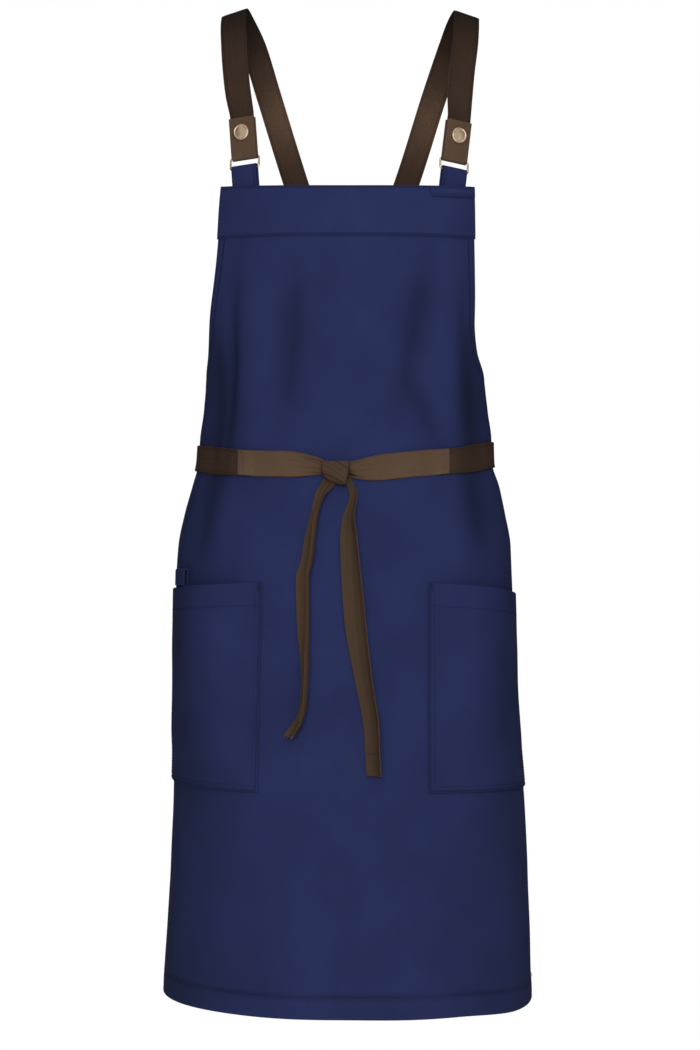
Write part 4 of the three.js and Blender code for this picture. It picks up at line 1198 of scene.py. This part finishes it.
def belt(side, name, start):
    """Webbing from its seam in front to the lap at the back. It steps out over the strap's end, and the
    right one over the left one's end too."""
    distance = np.linspace(start, belt_end, 230)
    down = spread(-WEB_W / 2, WEB_W / 2, 10, FINE[:8])
    distance, down = np.meshgrid(distance, down)
    around, drop = belt_place(side, distance, down)
    from_front = np.minimum(distance, 2 * back_half - distance)
    lift = BELT_GAP + LAYER * smooth(strap_zone - WEB_W, strap_zone, from_front)
    if side > 0:
        lift = lift + LAYER * smooth(belt_zone - WEB_W, belt_zone, distance)
    at_edge = np.minimum(down + WEB_W / 2, WEB_W / 2 - down)
    full = WEB_T * rolled(at_edge, 0.7)
    webbing = slab(
        f"belt_{name}_webbing",
        on_cloth(around, drop, lift + full),
        on_cloth(around, drop, lift),
        dark_web,
        np.stack([down, distance], -1),
        at_edge,
    )
    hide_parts(f"belt_{name}")


def tie(side, name, start):
    """Tape from the belt's seam to the knot, where it is gathered and creased."""
    knot_edge = side * KNOT_X + KNOT_W / 2 - TIE_UNDER
    lap_end = start + SEAM_LAP
    distance, across = np.meshgrid(np.linspace(knot_edge, lap_end, 110), np.linspace(-0.5, 0.5, 41))
    from_knot = distance - knot_edge
    opened = 1 - (1 - np.clip(from_knot / GATHER_REACH, 0, 1)) ** 1.6
    width = WEB_W * (TIE_NARROW + (1 - TIE_NARROW) * opened)
    settle = TIE_SETTLE[side] * (1 - smooth(30, 75, from_knot)) * smooth(-4, 8, from_knot)
    bow = GATHER_BOW * (1 - opened) * (1 + np.cos(2 * math.pi * GATHER_FOLDS * across))
    long_open = smooth(0, GATHER_L * 1.6, from_knot)
    phase = 2 * math.pi * (4.2 * across + 0.012 * from_knot) + 0.8 * side
    pleats = 0.55 * (1 - long_open) * np.sin(phase)
    crease = np.zeros(distance.shape)
    for k in range(len(CREASES["side"])):
        row = {key: values[k] for key, values in CREASES.items()}
        if row["side"] == side:
            share = np.clip((from_knot - row["from"]) / row["long"], 0, 1)
            off = across - (row["v"] + (row["end"] - row["v"]) * share)
            width_of = row["width"] * (1 - 0.6 * share)
            crease += row["deep"] * np.exp(-((off / width_of) ** 2)) * (1 - share) ** 0.6 * (share < 1)
    on_belt = LAYER * smooth(start - WEB_W / 2, start - 1, distance)
    lift = np.maximum(BELT_GAP + on_belt + bow + pleats - 0.35 * np.minimum(crease, 1), 0.5)
    at_edge = WEB_W * (0.5 - np.abs(across))
    around, drop = belt_place(side, distance, width * across + settle)
    tape_piece = slab(
        f"tie_{name}_tape",
        on_cloth(around, drop, lift + WEB_T * rolled(at_edge, 0.7)),
        on_cloth(around, drop, lift),
        light_tape,
        np.stack([WEB_W * across, distance], -1),
        at_edge,
    )
    # Painted shade along the creases by the knot
    mark_both_faces(tape_piece, "hollow", crease * 11)
    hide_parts(f"tie_{name}")
    for off in (1.6, 3.4):
        d = np.full(40, start + SEAM_LAP - off)
        x, y = belt_place(side, d, np.linspace(-WEB_W / 2 + 1.5, WEB_W / 2 - 1.5, 40))
        stitch_on_cloth("tape", x, y, BELT_GAP + LAYER + WEB_T - 0.1, pitch=2.6, length=2.1)


for side, name, start in ((-1, "left", SEAM_LEFT), (1, "right", SEAM_RIGHT)):
    belt(side, name, start)
    tie(side, name, start)


# Knot
KNOT = table("""
down left right full
0 -.4 .44 .35
.12 -.5 .5 .75
.35 -.5 .49 1
.55 -.46 .46 1
.75 -.32 .41 .85
1 .12 .36 .45
""")


def waist_knot():
    """A half knot of tape: one wrap slants over the rest."""
    knot_drop = BELT_DROP + WEB_W * 0.17
    across, down = np.meshgrid(np.linspace(0, 1, 70), np.linspace(0, 1, 60))
    low = KNOT_W * along(KNOT, "down", down, "left")
    high = KNOT_W * along(KNOT, "down", down, "right")
    full = along(KNOT, "down", down, "full")
    around = KNOT_X + low + (high - low) * across
    drop = knot_drop + KNOT_H * down
    dome = np.sin(math.pi * np.clip(across, 0, 1)) ** 0.5
    slant = down * KNOT_H - across * KNOT_W * 0.62
    wrap = smooth(0.6, 2.2, slant + 9.5) - 0.7 * smooth(-1, 1, slant - 12.5)
    folds = 0.5 * np.sin(slant * 1.05 + 0.5 * np.sin(across * 5)) * np.sin(math.pi * across) ** 0.5
    bulge = (KNOT_D - KNOT_RIM) * full * dome * (0.72 + 0.28 * wrap)
    face = KNOT_LIFT + KNOT_RIM + bulge + folds * full * wrap
    knot = slab(
        "waist_knot_tape",
        on_cloth(around, drop, face),
        on_cloth(around, drop, KNOT_LIFT),
        light_tape,
        np.stack([slant, KNOT_W * across + KNOT_H * down * 0.62], -1),
        np.full(across.shape, 9.0),
        60,
    )
    # Painted shade over the whole knot, deeper in its folds, along the wrap's edges and at its sides and
    # bottom
    deep = 1.6 - 3.5 * folds - groove(slant + 8.6, 5, 1.3) - groove(slant - 12.5, 9, 1.5)
    deep = deep + 9 * smooth(0.9, 1, across) + 4 * (1 - smooth(0, 0.09, across)) + 3 * smooth(0.85, 1, down)
    mark_both_faces(knot, "hollow", np.maximum(deep, 0))
    # The knot's tone is set a little darker than the ties'
    mark(knot, "faded", np.full(len(knot.data.vertices), -0.1))
    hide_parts("waist_knot")


waist_knot()


# Free ends
TAILS = {
    "tail_left": table("""
drop x wide curl turn
.356 -.6 .48 .14 0
.366 -.76 .58 .16 .02
.38 -.98 .56 .5 .2
.407 -1.12 .85 .75 .4
.431 -1.23 .95 .8 .36
.455 -1.31 1 .85 .345
.479 -1.48 1 .85 .29
.527 -1.45 1 .8 .31
.584 -1.41 1 .55 .42
.622 -1.45 1 .5 .43
.643 -1.56 1 .55 .42
.65 -1.66 1 .5 .35
.666 -1.97 1 .5 .32
"""),
    "tail_right": table("""
drop x wide curl turn
.356 -.06 .32 .24 0
.366 .1 .3 .3 .05
.379 .24 .4 .35 .25
.407 .14 .85 .55 .3
.431 .16 1 .55 .25
.527 .34 1 .5 .17
.603 .71 1 .5 .27
.661 .99 1 .5 .32
.689 1.02 1 .5 .33
.713 1.06 1 .5 .33
"""),
}
TAIL_GAP = 1.6
TAIL_ROWS = 260
TAIL_COLUMNS = 31
LOOSE_THREADS = 22
# Where the tape's end is folded up and sewn, as a share of the tail's length. The left end is cut
TAIL_HEM = {"tail_left": 2, "tail_right": 0.925}
CREASE = {"tail_left": 0.5, "tail_right": 0.25}
TAIL_TONE = {"tail_left": -0.24, "tail_right": -0.3}


def tail(name, rows):
    at = np.linspace(rows["drop"][0], rows["drop"][-1], TAIL_ROWS)
    low = np.full(TAIL_ROWS, TAIL_GAP + WEB_T / 2)
    seat = seat_on_cloth(WEB_W * along(rows, "drop", at, "x"), LENGTH * at, low)
    angle = (math.pi * along(rows, "drop", at, "curl"))[:, None]
    turn = (math.pi * along(rows, "drop", at, "turn"))[:, None]
    radius = WEB_W * along(rows, "drop", at, "wide")[:, None] / angle
    a = angle * (np.linspace(0, 1, TAIL_COLUMNS) - 0.5)
    x, y = radius * np.sin(a), radius * (1 - np.cos(a))
    section = np.stack([x * np.cos(turn) - y * np.sin(turn), x * np.sin(turn) + y * np.cos(turn)], -1)
    t = np.linspace(0, 1, len(at))[:, None]
    s = np.linspace(0, 1, TAIL_COLUMNS)
    crease = CREASE[name] * np.sin(2 * math.pi * (3.1 * s + 0.9 * t)) * (1 - 0.55 * smooth(0.25, 0.8, t))
    section[..., 1] += crease * np.sin(math.pi * s)
    section[..., 1] -= section[..., 1].min(1, keepdims=True)
    hem = smooth(0, 1, (t - TAIL_HEM[name]) * (LENGTH * (at[-1] - at[0])))
    section[..., 1:] += 0.6 * hem[..., None]
    tape_piece = tape(name + "_tape", seat, section, WEB_T, light_tape)
    # Painted shade where the tail comes out from under the knot, and along the fold of the sewn hem
    step = np.exp(-(((t - TAIL_HEM[name]) * 300) ** 2))
    deep = 9 * np.exp(-t / 0.025) + 7 * step * (TAIL_HEM[name] < 1)
    mark_both_faces(tape_piece, "hollow", np.repeat(deep.ravel(), TAIL_COLUMNS))
    # The tails' tone is set darker than the ties'
    mark(tape_piece, "faded", np.full(len(tape_piece.data.vertices), TAIL_TONE[name]))
    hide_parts(name)
    return seat, section[-1]


def loose_threads(seat, end):
    """A cut end, where threads come loose."""
    last = {key: seat[key][-1] for key in seat}
    down = unit(seat["at"][-1] - seat["at"][-4])
    for k in range(LOOSE_THREADS):
        root = end[1 + (k * 29) // LOOSE_THREADS]
        start = last["at"] + last["across"] * root[0] + last["out"] * root[1] - down * 1.2
        way = down * (2.6 + 1.3 * math.sin(k * 2.3)) + last["across"] * 0.9 * math.sin(k * 1.7)
        way = way + last["out"] * 0.5 * math.cos(k * 2.9)
        line = np.array([start, start + way * 0.6, start + way + last["across"] * 0.3 * math.sin(k * 3.1)])
        stitch("tape", line, np.array([last["out"]] * 3), pitch=1.0, length=1.5, radius=0.2, rise=0.02)


ends = {name: tail(name, rows) for name, rows in TAILS.items()}
loose_threads(*ends["tail_left"])


# Stitches, joined by thread
for kind, material in (("navy", navy_thread), ("tape", tape_thread)):
    parts = stitch_parts[kind]
    faces = np.concatenate(parts["faces"]).tolist()
    piece(f"stitches_{kind}", np.concatenate(parts["verts"]), faces, material, sharp=80)


# Floor, light and camera
FLOOR_HALF = 6.0
FLOOR_Z = -1.32


def smooth_floor():
    """A pale floor, white where the camera sees it and grey for the light that it sends up."""
    mesh = bpy.data.meshes.new("floor")
    corners = [(x * FLOOR_HALF, y * FLOOR_HALF, FLOOR_Z) for x, y in ((-1, -1), (1, -1), (1, 1), (-1, 1))]
    mesh.from_pydata(corners, [], [(0, 1, 2, 3)])
    obj = bpy.data.objects.new("floor", mesh)
    bpy.context.collection.objects.link(obj)
    mat = bpy.data.materials.new("pale floor")
    mat.use_nodes = True
    tree = mat.node_tree
    tree.nodes["Principled BSDF"].inputs["Base Color"].default_value = srgb("f4f4f2")
    tree.nodes["Principled BSDF"].inputs["Roughness"].default_value = 0.9
    glow = add(tree, "ShaderNodeEmission", {"Strength": 1.0})
    path = add(tree, "ShaderNodeLightPath")
    mix = add(tree, "ShaderNodeMixShader", links={"Fac": path.outputs["Is Camera Ray"]})
    tree.links.new(tree.nodes["Principled BSDF"].outputs[0], mix.inputs[1])
    tree.links.new(glow.outputs[0], mix.inputs[2])
    tree.links.new(mix.outputs[0], tree.nodes["Material Output"].inputs["Surface"])
    mesh.materials.append(mat)


def soft_light(name, place, aim, size, power, colour):
    lamp = bpy.data.lights.new(name, "AREA")
    lamp.shape = "SQUARE"
    lamp.size = size
    lamp.energy = power
    lamp.color = srgb(colour)[:3]
    obj = bpy.data.objects.new(name, lamp)
    obj.location = place
    obj.rotation_euler = (Vector(aim) - Vector(place)).to_track_quat("-Z", "Y").to_euler()
    bpy.context.collection.objects.link(obj)


smooth_floor()
soft_light("key", (-0.25, -3.3, 0.2), (0, 0, -0.5), 1.0, 61, "fffdfa")
soft_light("fill", (0.5, -3.1, -0.4), (0, 0, -0.55), 1.0, 22, "fbfcff")
soft_light("top", (0.0, -0.6, 1.6), (0, 0.05, -0.3), 1.2, 8, "ffffff")
soft_light("back", (-0.4, 3.3, 0.4), (0, 0, -0.55), 1.2, 40, "fbfcff")
soft_light("brow", (0.7, -2.4, 1.5), (0, 0, -0.3), 1.6, 26, "fffdfa")

world = bpy.context.scene.world or bpy.data.worlds.new("studio")
bpy.context.scene.world = world
world.use_nodes = True
tree = world.node_tree
tree.nodes.clear()
seen = add(tree, "ShaderNodeBackground", {"Color": (1, 1, 1, 1), "Strength": 1.0})
light = add(tree, "ShaderNodeBackground", {"Color": srgb("eef1f8"), "Strength": 0.05})
path = add(tree, "ShaderNodeLightPath")
mix = add(tree, "ShaderNodeMixShader", links={"Fac": path.outputs["Is Camera Ray"]})
tree.links.new(light.outputs[0], mix.inputs[1])
tree.links.new(seen.outputs[0], mix.inputs[2])
out = add(tree, "ShaderNodeOutputWorld")
tree.links.new(mix.outputs[0], out.inputs[0])
bpy.context.scene.view_settings.view_transform = "Standard"

camera = bpy.data.cameras.new("camera")
camera.lens = 90
camera.sensor_width = 36
view = bpy.data.objects.new("camera", camera)
view.location = (0.002, -2.6, -0.507)
view.rotation_euler = (math.pi / 2, 0, 0)
bpy.context.collection.objects.link(view)
bpy.context.scene.camera = view
